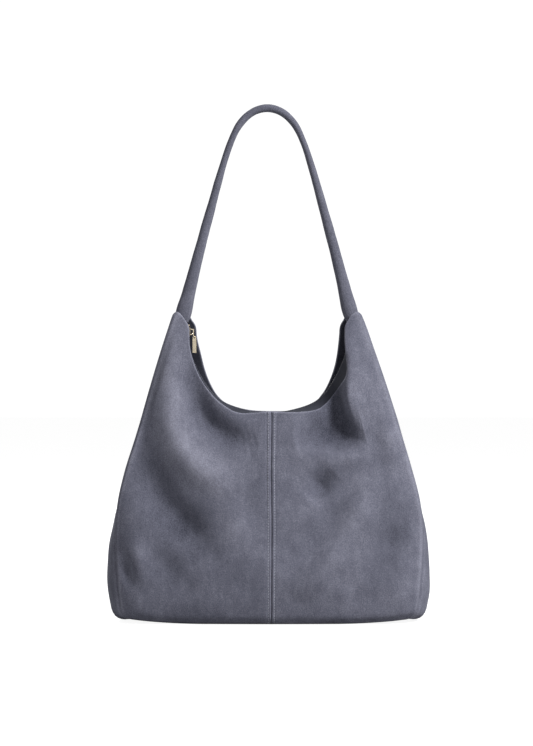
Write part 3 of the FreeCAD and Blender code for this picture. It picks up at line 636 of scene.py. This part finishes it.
def flat_panel(start, mouth):
    """(x, z) of a panel's grid, filled in smoothly between its four edges."""
    u, v = U[None, :, None], V[:, None, None]
    bottom, top = resample(bottom_line(start), U), resample(mouth, U)
    outer = resample(SIDE, V)
    inner = np.stack([np.full_like(V, start), V * (top[0, 1] - bottom[0, 1]) + bottom[0, 1]], -1)
    blend = (1 - v) * bottom[None] + v * top[None] + (1 - u) * inner[:, None] + u * outer[:, None]
    corners = (1 - u) * ((1 - v) * bottom[0] + v * top[0]) + u * ((1 - v) * bottom[-1] + v * top[-1])
    heights = np.linalg.norm(top - bottom, axis=1)
    return blend - corners, outer[:, 0], heights


def half_panel(side, face):
    """Outer side of one panel: a grid from the centre seam (u 0) to its side, base (v 0) to mouth."""
    seed = PANEL_SEEDS[face]
    u, v = np.meshgrid(U, V)
    start = side * SEAM_X * -way_of(face)
    flat, widths, heights = flat_panel(start, MOUTHS[face, side])
    from_seam, from_side = u * widths[:, None], (1 - u) * widths[:, None]
    from_mouth = (1 - v) * heights[None]
    x = side * (flat[..., 0] + SEAM_GAP * (1 - u))
    z = flat[..., 1]
    freedom = soften(x, z)
    folded = FOLDS[face](x, z) * freedom
    place = np.stack([x, np.full_like(x, way_of(face) * 50.0), z], -1)
    ripple = lumps(place, 62, seed) * 2.2 + lumps(place, 27, seed + 3) * 0.8
    pucker = lumps(place * np.array([0.2, 1, 1]), 9, 5) * 0.35 * bell(from_seam, 9)
    depth = plain_depth(x, z) + folded + ripple * freedom + pucker
    depth -= seam_profile(from_seam) + side_profile(from_side) * fade(z, -5, 25)
    depth -= 0.9 * np.clip(1 - from_mouth / 2.2, 0, 1) ** 2
    # Painted light and shade: the first term makes the tone lighter on the folds' ridges and darker in their
    # hollows; the two lumps terms are random mottling.
    tone = 0.042 * folded + 0.075 * lumps(place, 48, seed + 9) + 0.05 * lumps(place, 23, seed + 11)
    # Painted shade: darker towards the base, where the panel turns under.
    tone -= 0.10 * (1 - fade(z, 0, 22))
    # Painted light and painted shade in patches on the front panels.
    if face == "front":
        tone += painted_light_and_shade(x, z)
    wear = 0.35 * bell(from_side - 3, 2.2) + 0.1 * bell(from_seam - 1.9, 1.2) + 0.5 * bell(from_mouth, 1.4)
    return np.stack([x, way_of(face) * depth, z], -1), tone, wear


# Middle x and z, half width, half height and tone of each patch of painted light (tone above 0) and painted
# shade (tone below 0).
LIGHT_AND_SHADE_PATCHES = [
    (102, 348, 21, 50, -0.27),
    (-118, 110, 62, 70, -0.09),
    (184, 112, 15, 75, 0.16),
    (-70, 44, 60, 26, -0.05),
]


# Painted light and shade, summed patch by patch.
def painted_light_and_shade(x, z):
    total = np.zeros_like(x)
    for middle_x, middle_z, half_width, half_height, amount in LIGHT_AND_SHADE_PATCHES:
        total += amount * bell(x - middle_x, half_width) * bell(z - middle_z, half_height)
    return total


def seam_profile(distance):
    """Depth of the turned seam at a distance from it, with the dent under the row of stitches."""
    turned = 1.2 * np.clip(1 - distance / 1.4, 0, 1) ** 2
    dent = 0.45 * bell(distance - STITCH_OFFSET, 0.8)
    swell = 0.25 * bell(distance - 2, 0.9)
    return turned + dent - swell


def side_profile(distance):
    """Depth of the groove along the side seams."""
    depth, width = 2.4, 2.6
    return depth * np.clip(1 - distance / width, 0, 1) ** 2


# Lower half of each mouth edge, from the middle to its widest place: (distance from the middle, z).
FRONT_LEFT_SCOOP = [(0, 260.9), (18, 259.6), (33.6, 259), (44.3, 261.8), (53, 267), (63.8, 275.4)]
FRONT_LEFT_SCOOP += [(73.5, 286), (81, 296.6), (87.4, 309.3), (92.8, 324), (96.6, 341), (97.2, ZIP_CENTRE)]
FRONT_RIGHT_SCOOP = [(0, 260.9), (36.4, 260.3), (55.4, 262.4), (63, 265), (72.5, 272.4), (79.5, 280.8)]
FRONT_RIGHT_SCOOP += [(89.5, 294.5), (95.5, 304.5), (97.5, 315), (96.5, 329), (95.6, 344), (95.6, ZIP_CENTRE)]
BACK_LEFT_SCOOP = [(0, 260.5), (20, 261.4), (37, 264.6), (56, 272), (64.2, 279.8), (69.2, 287.3)]
BACK_LEFT_SCOOP += [(76.2, 302.6), (80.8, 317.6), (84.2, 333.5), (87.8, 349.5), (89, ZIP_CENTRE)]
BACK_RIGHT_SCOOP = [(0, 260.5), (27, 260.9), (47, 264.6), (58.9, 272), (65.6, 279.8), (71, 287.3)]
BACK_RIGHT_SCOOP += [(78.6, 302.6), (83.8, 317.6), (87.2, 333.5), (89.2, 349.5), (90, ZIP_CENTRE)]
MOUTHS = {
    ("front", -1): mouth_line(FRONT_LEFT_SCOOP, -SEAM_X),
    ("front", 1): mouth_line(FRONT_RIGHT_SCOOP, SEAM_X),
    ("back", -1): mouth_line(BACK_LEFT_SCOOP, SEAM_X),
    ("back", 1): mouth_line(BACK_RIGHT_SCOOP, -SEAM_X),
}


def make_panels():
    """The four suede panels. Returns each one's grid and outward directions."""
    grids = {}
    for face in FACES:
        for name, side in SIDES.items():
            grid, tone, wear = half_panel(side, face)
            outward = grid_normals(grid)
            outward *= np.sign(np.median(outward[..., 1])) * way_of(face)
            node = f"{face}_panel_{name}"
            piece = shell(f"{node}_suede", grid, outward, 0, SUEDE, suede, tone, wear)
            sew_to_bag(piece, "suede", node)
            grids[face, side] = np.stack([grid, outward])
    return grids


SEAM_CLEAR = 0.012  # share of a panel's width that the inner layers leave free at the seam
STRIP_REACH = 0.045  # share of a panel's width that the seam strip covers
LINING_INSET = 3.2


def both_halves(grids, face, low, high, columns, step=1):
    """Grid and outward directions of left and right halves as one, for v from low to high."""
    rows = np.where((V >= low) & (V <= high))[0]
    rows = slice(rows[0], rows[-1] + 1, step)
    left, right = (grids[face, side][:, rows][:, :, columns] for side in (-1, 1))
    return np.concatenate([left[:, :, ::-1], right], axis=2)


def make_facings_and_linings(grids):
    """Facings along the mouth, the lining, and strips behind the centre seams."""
    lining_step = 2
    all_columns = np.where(U > SEAM_CLEAR)[0]
    lining_columns = np.arange(0, len(U), lining_step)
    lining_columns = lining_columns[U[lining_columns] > SEAM_CLEAR]
    strip_columns = np.where((U > SEAM_CLEAR) & (U < STRIP_REACH))[0]
    for face in FACES:
        grid, outward = both_halves(grids, face, 0.9, 1.0, all_columns)
        # Painted shade: the facing takes a darker copy of the body's suede.
        piece = shell(f"{face}_facing_suede", grid, outward, SUEDE + 0.25, FACING, facing_suede)
        sew_to_bag(piece, "facing", f"{face}_facing")

        grid, outward = both_halves(grids, face, 0.03, 0.93, lining_columns, lining_step)[:, :, 3:-3]
        piece = shell(f"{face}_lining_cloth", grid, outward, LINING_INSET, CLOTH, lining_cloth)
        sew_to_bag(piece, "lining", f"lining_{face}")

        grid, outward = both_halves(grids, face, 0.03, 0.89, strip_columns)
        piece = shell(f"{face}_seam_strip_cloth", grid, outward, SUEDE + 0.3, CLOTH, strip_cloth)
        sew_to_bag(piece, "seam_strip", f"{face}_seam_strip")


# ---------------------------------------- gussets and base


GUSSET_ROWS, GUSSET_COLUMNS = 150, 44
# (height, how far the gusset's middle stands out)
GUSSET_BULGE = [(-10, 5), (0, 9), (8, 13), (20, 14.8), (55, 15), (90, 10.3), (130, 2.9), (165, -2)]
GUSSET_BULGE += [(260, -6), (330, -4), (366, -1), (390, 0)]
gusset_bulge = curve_of(GUSSET_BULGE)


def side_border(grids, face, side):
    """Edge of a panel from the straight part of its base round the corner and up to the ear."""
    grid, _ = grids[face, side]
    bottom, outer = grid[0], grid[:, -1]
    start = np.searchsorted(np.abs(bottom[:, 0]), BASE_STRAIGHT - 8)
    return resample(np.vstack([bottom[start:-1], outer]), np.linspace(0, 1, GUSSET_ROWS))


def side_directions(middle, side):
    """Directions out of the bag's side, square to the gusset's middle line."""
    along = np.gradient(middle, axis=0)
    along[:, 1] = 0
    along = unit(along)
    return np.stack([along[:, 2], np.zeros(len(middle)), -along[:, 0]], -1) * side


def gusset_grid(grids, side):
    """The gusset's outer side, from the base (row 0) to the ear, and from front to back."""
    front, back = side_border(grids, "front", side), side_border(grids, "back", side)
    middle = (front + back) / 2
    height = middle[:, 2]
    outward = side_directions(middle, side)
    across = (1 - np.cos(np.linspace(0, math.pi, GUSSET_COLUMNS))) / 2
    half = np.linalg.norm(back - front, axis=1)[:, None] / 2
    w = across[None, :]
    grid = front[:, None] * (1 - w[..., None]) + back[:, None] * w[..., None]
    level = 1 - (2 * w - 1) ** 2
    sideways = fade(np.abs(outward[:, 0]), 0.15, 0.95)
    out = (gusset_bulge(height) * sideways)[:, None] * level**0.8
    crease = 4.5 * fade(height, 170, 260) * (1 - fade(height, 330, 372))
    out -= crease[:, None] * bell((w - 0.5) * 2 * half, 7)
    out += lumps(grid, 38, 11 + side) * 1.6 * level * fade(height, 10, 50)[:, None]
    edge = np.minimum(w, 1 - w) * 2 * half
    out -= side_profile(edge) * fade(height, -5, 25)[:, None]
    grid = grid + outward[:, None] * out[..., None]
    grid[..., 2] = np.maximum(grid[..., 2], 0.15)
    # Painted shade: darker along the seam grooves with the panels; the lumps term is random mottling.
    tone = 0.02 * lumps(grid, 40, 23) - 0.08 * bell(edge, 3)
    return grid, tone, 0.3 * bell(edge - 3, 2)


def make_gussets(grids):
    """Both gussets, and the lining inside them."""
    for name, side in SIDES.items():
        grid, tone, wear = gusset_grid(grids, side)
        outward = grid_normals(grid)
        outward *= np.sign(np.median(outward[..., 0])) * side
        piece = shell(f"gusset_{name}_suede", grid, outward, 0, SUEDE, suede, tone, wear)
        sew_to_bag(piece, "suede", f"gusset_{name}")
        part = (slice(14, 132, 2), slice(3, -3))
        node = f"lining_side_{name}"
        piece = shell(f"{node}_cloth", grid[part], outward[part], SUEDE + 0.4, CLOTH, lining_cloth)
        sew_to_bag(piece, "lining", node)


BOARD_MARGIN = 4.0


def base_grid(grids, margin):
    """The flat underside between the panels' bottom edges."""
    half_length = BASE_STRAIGHT - 7 - margin
    x = np.linspace(-half_length, half_length, 90)
    edges = []
    for face in FACES:
        left, right = grids[face, -1][0, 0], grids[face, 1][0, 0]
        line = np.vstack([left[::-1], right])
        edges.append(np.interp(x, line[:, 0], line[:, 1]))
    front, back = edges
    across = (1 - np.cos(np.linspace(0, math.pi, 30))) / 2
    y = (front + margin)[:, None] * (1 - across) + (back - margin)[:, None] * across
    z = np.repeat(base_rise(x)[:, None], len(across), axis=1)
    return np.stack([np.repeat(x[:, None], len(across), axis=1), y, z], -1)


def make_base(grids):
    """Base panel, board and base lining, one on the other, from the outside in."""
    layers = [
        ("base_panel", "suede", 0.0, SUEDE, suede, 0.0),
        ("base_board", "board", SUEDE + 0.3, BOARD_THICK, fibreboard, BOARD_MARGIN),
        ("lining_base", "lining", SUEDE + 2.4, CLOTH, lining_cloth, BOARD_MARGIN),
    ]
    for node, slot, inset, thickness, material, margin in layers:
        grid = base_grid(grids, margin)
        outward = np.zeros_like(grid)
        outward[..., 2] = -1
        # Painted shade: the underside is coloured darker all over; the lumps term is random mottling.
        tone = 0.05 * lumps(grid, 40, 31) - 0.15
        piece = shell(f"{node}_sheet", grid, outward, inset, thickness, material, tone)
        sew_to_bag(piece, slot, node)


# ---------------------------------------- stitching


def tube_faces(rows, around):
    """Faces of a closed tube of rings, with both ends capped."""
    faces = []
    for i in range(rows - 1):
        for j in range(around):
            k = (j + 1) % around
            faces.append([i * around + j, i * around + k, (i + 1) * around + k, (i + 1) * around + j])
    last = (rows - 1) * around
    return faces + [list(range(around))[::-1], [last + j for j in range(around)]]


def stitch_shape():
    """One short rounded stitch along X, 1 mm thick and 1 mm long, to be scaled."""
    rings, around, end_radius = 5, 6, 0.12
    points = []
    for i in range(rings):
        turn = math.pi * i / (rings - 1)
        x = -0.5 * math.cos(turn)
        radius = 0.5 * math.sin(turn) ** 0.6 if 0 < i < rings - 1 else end_radius
        for j in range(around):
            angle = 2 * math.pi * j / around
            points.append((x, radius * math.cos(angle), radius * math.sin(angle)))
    return np.array(points), tube_faces(rings, around)


STITCH_PITCH, STITCH_LENGTH, STITCH_THICK = 3.4, 2.6, 0.8


def stitch_row(line, normals):
    """Stitches along a line on a surface."""
    shape, faces = stitch_shape()
    count = int(np.linalg.norm(np.diff(line, axis=0), axis=1).sum() / STITCH_PITCH)
    middles = resample(line, (np.arange(count) + 0.5) / count)
    ups = resample(np.hstack([line, normals]), (np.arange(count) + 0.5) / count)[:, 3:]
    ahead = resample(line, (np.arange(count) + 0.7) / count) - middles
    local = shape * np.array([STITCH_LENGTH, STITCH_THICK, STITCH_THICK * 0.8])
    points, all_faces = [], []
    for i in range(count):
        a = unit(ahead[i])
        n = unit(ups[i] - a * np.dot(ups[i], a))
        b = np.cross(n, a)
        points.append(middles[i] + local[:, :1] * a + local[:, 1:2] * b + local[:, 2:] * n)
        all_faces += [[k + i * len(shape) for k in face] for face in faces]
    return np.vstack(points), all_faces


def make_seam_stitches(grids):
    """A row of top stitches on each side of both centre seams."""
    column = int(np.argmin(np.abs(U * SIDE[:, 0].max() - STITCH_OFFSET)))
    for face in FACES:
        vertices, faces = [], []
        for side in (-1, 1):
            line, normals = grids[face, side][:, 3:-1, column]
            row, row_faces = stitch_row(lean(line) + normals * 0.15, normals)
            start = sum(len(v) for v in vertices)
            faces += [[k + start for k in f] for f in row_faces]
            vertices.append(row)
        piece = make_object(f"{face}_seam_stitches", np.vstack(vertices), faces, thread)
        sew_to_bag(piece, "suede")


# ---------------------------------------- strap


STRAP_THIN = 9.6
# right half of the strap's middle line, (x, z), and its width at each height
STRAP_LINE = [(0, STRAP_TOP - 4.9), (12.5, 637.2), (23.4, 630.9), (33, 621), (38.8, 611.8), (44.7, 598.6)]
STRAP_LINE += [(50.2, 583.7), (59.3, 553.9), (71.6, 509.2), (83.7, 464.5), (95.1, 419.8), (104.3, 383)]
STRAP_LINE += [(107, 373)]
STRAP_WIDTH = [(365, 12), (374, 15.6), (381, 18.7), (390, 19), (405, 16.8), (420, 15.2), (449, 13.3)]
STRAP_WIDTH += [(479, 12.1), (509, 10.9), (539, 9.6), (569, 8.4), (590, 7.9), (612, 8.2), (630, 9.2)]
STRAP_WIDTH += [(650, 9.6)]
strap_width = curve_of(STRAP_WIDTH)
STRAP_ROWS, STRAP_AROUND = 300, 28
STRAP_SEAM_TURN = math.pi * 1.12  # round the strap from its outer side
STRAP_SEAM_RADIUS = 5.0
Y_AXIS = np.array([0.0, 1.0, 0.0])


def strap_centreline():
    """Points of the strap's middle from the left root over the top to the right root."""
    knots = np.array(STRAP_LINE, float)
    right = np.stack([knots[:, 0], np.zeros(len(knots)), knots[:, 1]], -1)
    left = right[1:][::-1] * np.array([-1, 1, 1])
    return catmull_rom(np.vstack([left, right]), 20)


def across_of(line):
    """Unit directions square to a line in the XZ plane."""
    return np.cross(unit(np.gradient(line, axis=0)), Y_AXIS)


def strap_tube(name, line):
    """A rolled strap: an oval tube, thicker at its roots, with the seam where its edges meet inside."""
    line = resample(line, np.linspace(0, 1, STRAP_ROWS))
    outward = unit(across_of(line))
    from_middle = line - np.array([0, 0, TOP])
    outward *= np.sign((from_middle * outward).sum(1))[:, None]
    width = strap_width(line[:, 2])
    depth = STRAP_THIN + (width - STRAP_THIN).clip(0) * 0.5
    angle = 2 * math.pi * np.arange(STRAP_AROUND) / STRAP_AROUND
    squash = 1 + 0.03 * np.cos(2 * angle)
    grid = (
        line[:, None]
        + outward[:, None] * (width[:, None] / 2 * np.cos(angle) * squash)[..., None]
        + Y_AXIS * (depth[:, None] / 2 * np.sin(angle) * squash)[..., None]
    )
    radial = unit(grid - line[:, None])
    uneven = lumps(grid, 24, 41) * 0.35 + lumps(grid, 9, 43) * 0.12
    turn = np.abs(angle - STRAP_SEAM_TURN)
    from_seam = np.minimum(turn, 2 * math.pi - turn) * STRAP_SEAM_RADIUS
    groove = 0.55 * bell(from_seam, 0.9)
    grid = lean(grid + radial * (uneven - groove[None, :])[..., None])
    tone = 0.05 * lumps(grid, 30, 47) + 0.02
    wear = 0.25 * bell(from_seam - 1.2, 0.6)[None, :] * np.ones((STRAP_ROWS, 1))
    attributes = [("tone", tone.ravel()), ("wear", wear.ravel())]
    faces = tube_faces(STRAP_ROWS, STRAP_AROUND)
    # Painted shade: the strap takes a darker copy of the body's suede.
    piece = make_object(name, grid.reshape(-1, 3), faces, strap_suede, attributes)
    make_normals_outward(piece)
    return piece


def make_core():
    """The filler cord inside the strap, which ends above the bend of its necks."""
    count, around = 120, 12
    low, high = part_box("strap_core")
    line = strap_centreline()
    line = resample(lean(line[line[:, 2] > low.z / MM]), np.linspace(0, 1, count))
    angle = 2 * math.pi * np.arange(around + 1) / around
    ring = across_of(line)[:, None] * np.cos(angle)[:, None] + Y_AXIS * np.sin(angle)[:, None]
    grid = line[:, None] + ring * high.y / MM
    faces = grid_faces(count, around + 1)
    piece = make_object("strap_filler_cord", grid.reshape(-1, 3), faces, filler_cloth)
    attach(piece, "strap")
    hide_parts("strap_core")


def make_strap():
    """The rolled strap, which bends above the ears, and its filler cord."""
    make_core()
    piece = strap_tube("strap_suede_roll", strap_centreline())
    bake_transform(piece)
    nodes = ["strap_cover"]
    nodes += [f"strap_{part}_{side}" for part in ("neck", "root") for side in SIDES]
    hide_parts(*nodes)


# ---------------------------------------- zip


TAPE_EDGE = 2.7  # distance of the tape's free edge from the middle plane
FACING_INSIDE = SUEDE + FACING + 0.9  # from the panel's outer side to the tape's seam


def zip_radius(angle):
    """The zip keeps to its circle, but dips below the mouth's lower corners."""
    corner_turn, corner_width, dip = 37, 15, 4.0 if angle > 0 else 3.0
    return ZIP_RADIUS + dip * bell(abs(math.degrees(angle)) - corner_turn, corner_width)


def on_track(angle):
    """Point of the zip's middle line. angle is from straight down."""
    radius = zip_radius(angle)
    return np.array([radius * math.sin(angle), 0, ZIP_CENTRE - radius * math.cos(angle)])


def zip_attachment(face, angle):
    """Where the tape meets the facing's inner side: x, distance from the middle plane, z."""
    side = 1 if math.sin(angle) >= 0 else -1
    mouth = MOUTHS[face, side]
    turns = np.arctan2(mouth[:, 0], ZIP_CENTRE - mouth[:, 1])
    order = np.argsort(turns)
    from_centre = np.linalg.norm(mouth - np.array([0, ZIP_CENTRE]), axis=1)
    reach = np.interp(abs(angle), turns[order], from_centre[order])
    radius = max(zip_radius(angle) + 0.5, reach + 5.5)
    x, z = radius * math.sin(angle), ZIP_CENTRE - radius * math.cos(angle)
    at_x, at_z = np.array([x]), np.array([z])
    depth = plain_depth(at_x, at_z) + FOLDS[face](at_x, at_z) * soften(at_x, at_z)
    return x, max(depth[0] - FACING_INSIDE, TAPE_EDGE + 3), z


def open_with_lip(piece, face):
    """The piece's placement is baked into its mesh; the zip's attachment points at its middle and near its
    end are worked out but not used.
    """
    low, high = zip_attachment(face, 0.0), zip_attachment(face, ZIP_END * 0.97)
    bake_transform(piece)


TAPE_SAG = 1.6


def make_tape(face):
    """One zip tape, from its facing to its row of teeth, with a slight sag."""
    angles = np.linspace(-ZIP_END, ZIP_END, 170)
    across = np.array([0, 0.08, 0.2, 0.35, 0.5, 0.65, 0.8, 0.9, 0.96, 1.0])
    grid = np.zeros((len(angles), len(across), 3))
    for i, angle in enumerate(angles):
        x, y, z = zip_attachment(face, angle)
        outer = np.array([x, way_of(face) * y, z])
        inner = on_track(angle) + Y_AXIS * way_of(face) * TAPE_EDGE
        down = np.array([math.sin(angle), 0, -math.cos(angle)])
        sag = TAPE_SAG * np.sin(math.pi * across) * min(1.0, y / 30)
        grid[i] = outer * (1 - across[:, None]) + inner * across[:, None] + down * sag[:, None]
    outward = grid_normals(grid)
    outward *= -1 if outward[len(angles) // 2, len(across) // 2, 2] < 0 else 1
    piece = shell(f"{face}_zip_tape_cloth", grid, outward, -TAPE_THICK / 2, TAPE_THICK, tape_cloth)
    open_with_lip(piece, face)
    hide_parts(f"zip_tape_{face}")


# outline of a tooth: (along the zip, towards the other row), and its layers: (height, scale)
TOOTH = [(-0.55, 0.0), (-0.55, 1.9), (-0.85, 2.5), (-0.7, 3.3)]
TOOTH += [(0.7, 3.3), (0.85, 2.5), (0.55, 1.9), (0.55, 0.0)]
TOOTH_LAYERS = [(-1.0, 0.82), (-0.7, 1.0), (0.7, 1.0), (1.0, 0.82)]
TOOTH_PITCH = 2.8
TOOTH_MIDDLE = 1.6  # distance of a tooth's middle from the zip's, about which its layers shrink
FIRST_TOOTH, TEETH_END = -math.radians(85.8), ZIP_END - 0.04


def tooth_points(angle, way):
    """Points of one tooth on the zip's circle, layer by layer."""
    radial = np.array([-math.sin(angle), 0, math.cos(angle)])
    along = np.array([math.cos(angle), 0, math.sin(angle)])
    points = []
    for height, scale in TOOTH_LAYERS:
        for a, reach in TOOTH:
            y = way * (TOOTH_MIDDLE - (reach - TOOTH_MIDDLE) * scale)
            points.append(on_track(angle) + along * a * scale + Y_AXIS * y + radial * height)
    return points


def make_teeth(face):
    """One row of moulded teeth, each with a rounded head that meshes with the other row's."""
    step = TOOTH_PITCH / ZIP_RADIUS
    count = int((TEETH_END - FIRST_TOOTH) / step)
    shift = 0.5 if face == "back" else 0.0
    one_tooth = tube_faces(len(TOOTH_LAYERS), len(TOOTH))
    vertices, faces = [], []
    for i in range(count):
        start = len(vertices)
        vertices += tooth_points(FIRST_TOOTH + (i + shift) * step, way_of(face))
        faces += [[k + start for k in each] for each in one_tooth]
    piece = make_object(f"{face}_zip_teeth_row", np.array(vertices), faces, zip_nylon)
    piece.data.polygons.foreach_set("use_smooth", [False] * len(piece.data.polygons))
    open_with_lip(piece, face)
    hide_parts(f"zip_teeth_{face}")


METAL_NODES = ["slider_body", "slider_bridge", "puller_link", "puller_bar", "zip_stop_left", "zip_stop_right"]


def dress_metal_nodes():
    """Metal pieces keep their CAD shape and get their real finish."""
    for node in METAL_NODES:
        materials = frame["nodes"][node].data.materials
        materials.clear()
        materials.append(pale_gold)


# ---------------------------------------- floor, light and camera


def only_seen(nodes, links, dim, bright):
    """bright to the camera and dim as a light, so the white is even but leaves the bag's colours."""
    seen = nodes.new("ShaderNodeLightPath").outputs["Is Camera Ray"]
    return maths(nodes, links, "ADD", maths(nodes, links, "MULTIPLY", seen, bright - dim), dim)


def make_stage():
    """A wide pale floor, a hair below the bag."""
    half, level = 12000.0, -0.3
    ends = (-half, half)
    grid = np.array([[(x, y, level) for x in ends] for y in ends])
    material, nodes, links, shader = new_material("floor_white")
    grain = noise_node(nodes, links, texture_place(nodes), 40, 3, 0.5)
    pale = ramp(nodes, links, grain, [(0.3, (0.36, 0.36, 0.36)), (0.7, (0.40, 0.40, 0.40))])
    links.new(pale, shader.inputs["Base Color"])
    shader.inputs["Roughness"].default_value = 0.9
    shader.inputs["Specular IOR Level"].default_value = 0.1
    shader.inputs["Emission Color"].default_value = (1.0, 1.0, 1.0, 1.0)
    links.new(only_seen(nodes, links, 0.0, 0.92), shader.inputs["Emission Strength"])
    floor = make_object("studio_floor", grid.reshape(-1, 3), grid_faces(2, 2), material)


def area_light(name, place, size, power):
    """A soft rectangular light that faces the bag."""
    data = bpy.data.lights.new(name, "AREA")
    data.shape = "RECTANGLE"
    data.size, data.size_y = size
    data.energy = power
    light = bpy.data.objects.new(name, data)
    bpy.context.scene.collection.objects.link(light)
    light.location = place
    direction = Vector((0, 0, 0.25)) - Vector(place)
    light.rotation_mode = "QUATERNION"
    light.rotation_quaternion = direction.to_track_quat("-Z", "Y")


def make_lights():
    """A key light from the upper right, weak fills, and one from behind."""
    area_light("key", (1.70, -1.25, 1.95), (0.7, 0.7), 96)
    area_light("fill", (-1.9, -1.9, 0.9), (1.6, 1.8), 6)
    area_light("behind", (-1.3, 2.3, 1.7), (1.6, 1.6), 55)
    area_light("front", (0.3, -2.4, 1.0), (1.4, 1.4), 6)
    world = bpy.data.worlds.new("studio")
    world.use_nodes = True
    nodes, links = world.node_tree.nodes, world.node_tree.links
    sky = nodes["Background"]
    sky.inputs["Color"].default_value = (1.0, 1.0, 1.0, 1.0)
    links.new(only_seen(nodes, links, 0.16, 1.05), sky.inputs["Strength"])
    bpy.context.scene.world = world
    bpy.context.scene.view_settings.view_transform = "Standard"


def make_camera():
    """Straight in front of the bag, a little below the middle of its mouth."""
    distance, view_height = 2.6, 0.9325
    data = bpy.data.cameras.new("front_view")
    data.sensor_width = 36.0
    data.lens = data.sensor_width * distance / view_height
    camera = bpy.data.objects.new("front_view", data)
    bpy.context.scene.collection.objects.link(camera)
    camera.location = (-0.0023, -distance, 0.3085)
    camera.rotation_euler = (math.pi / 2, 0, 0)
    bpy.context.scene.camera = camera


grids = make_panels()
make_facings_and_linings(grids)
make_gussets(grids)
make_base(grids)
make_seam_stitches(grids)
make_strap()
for face in FACES:
    make_tape(face)
    make_teeth(face)
dress_metal_nodes()
make_stage()
make_lights()
make_camera()
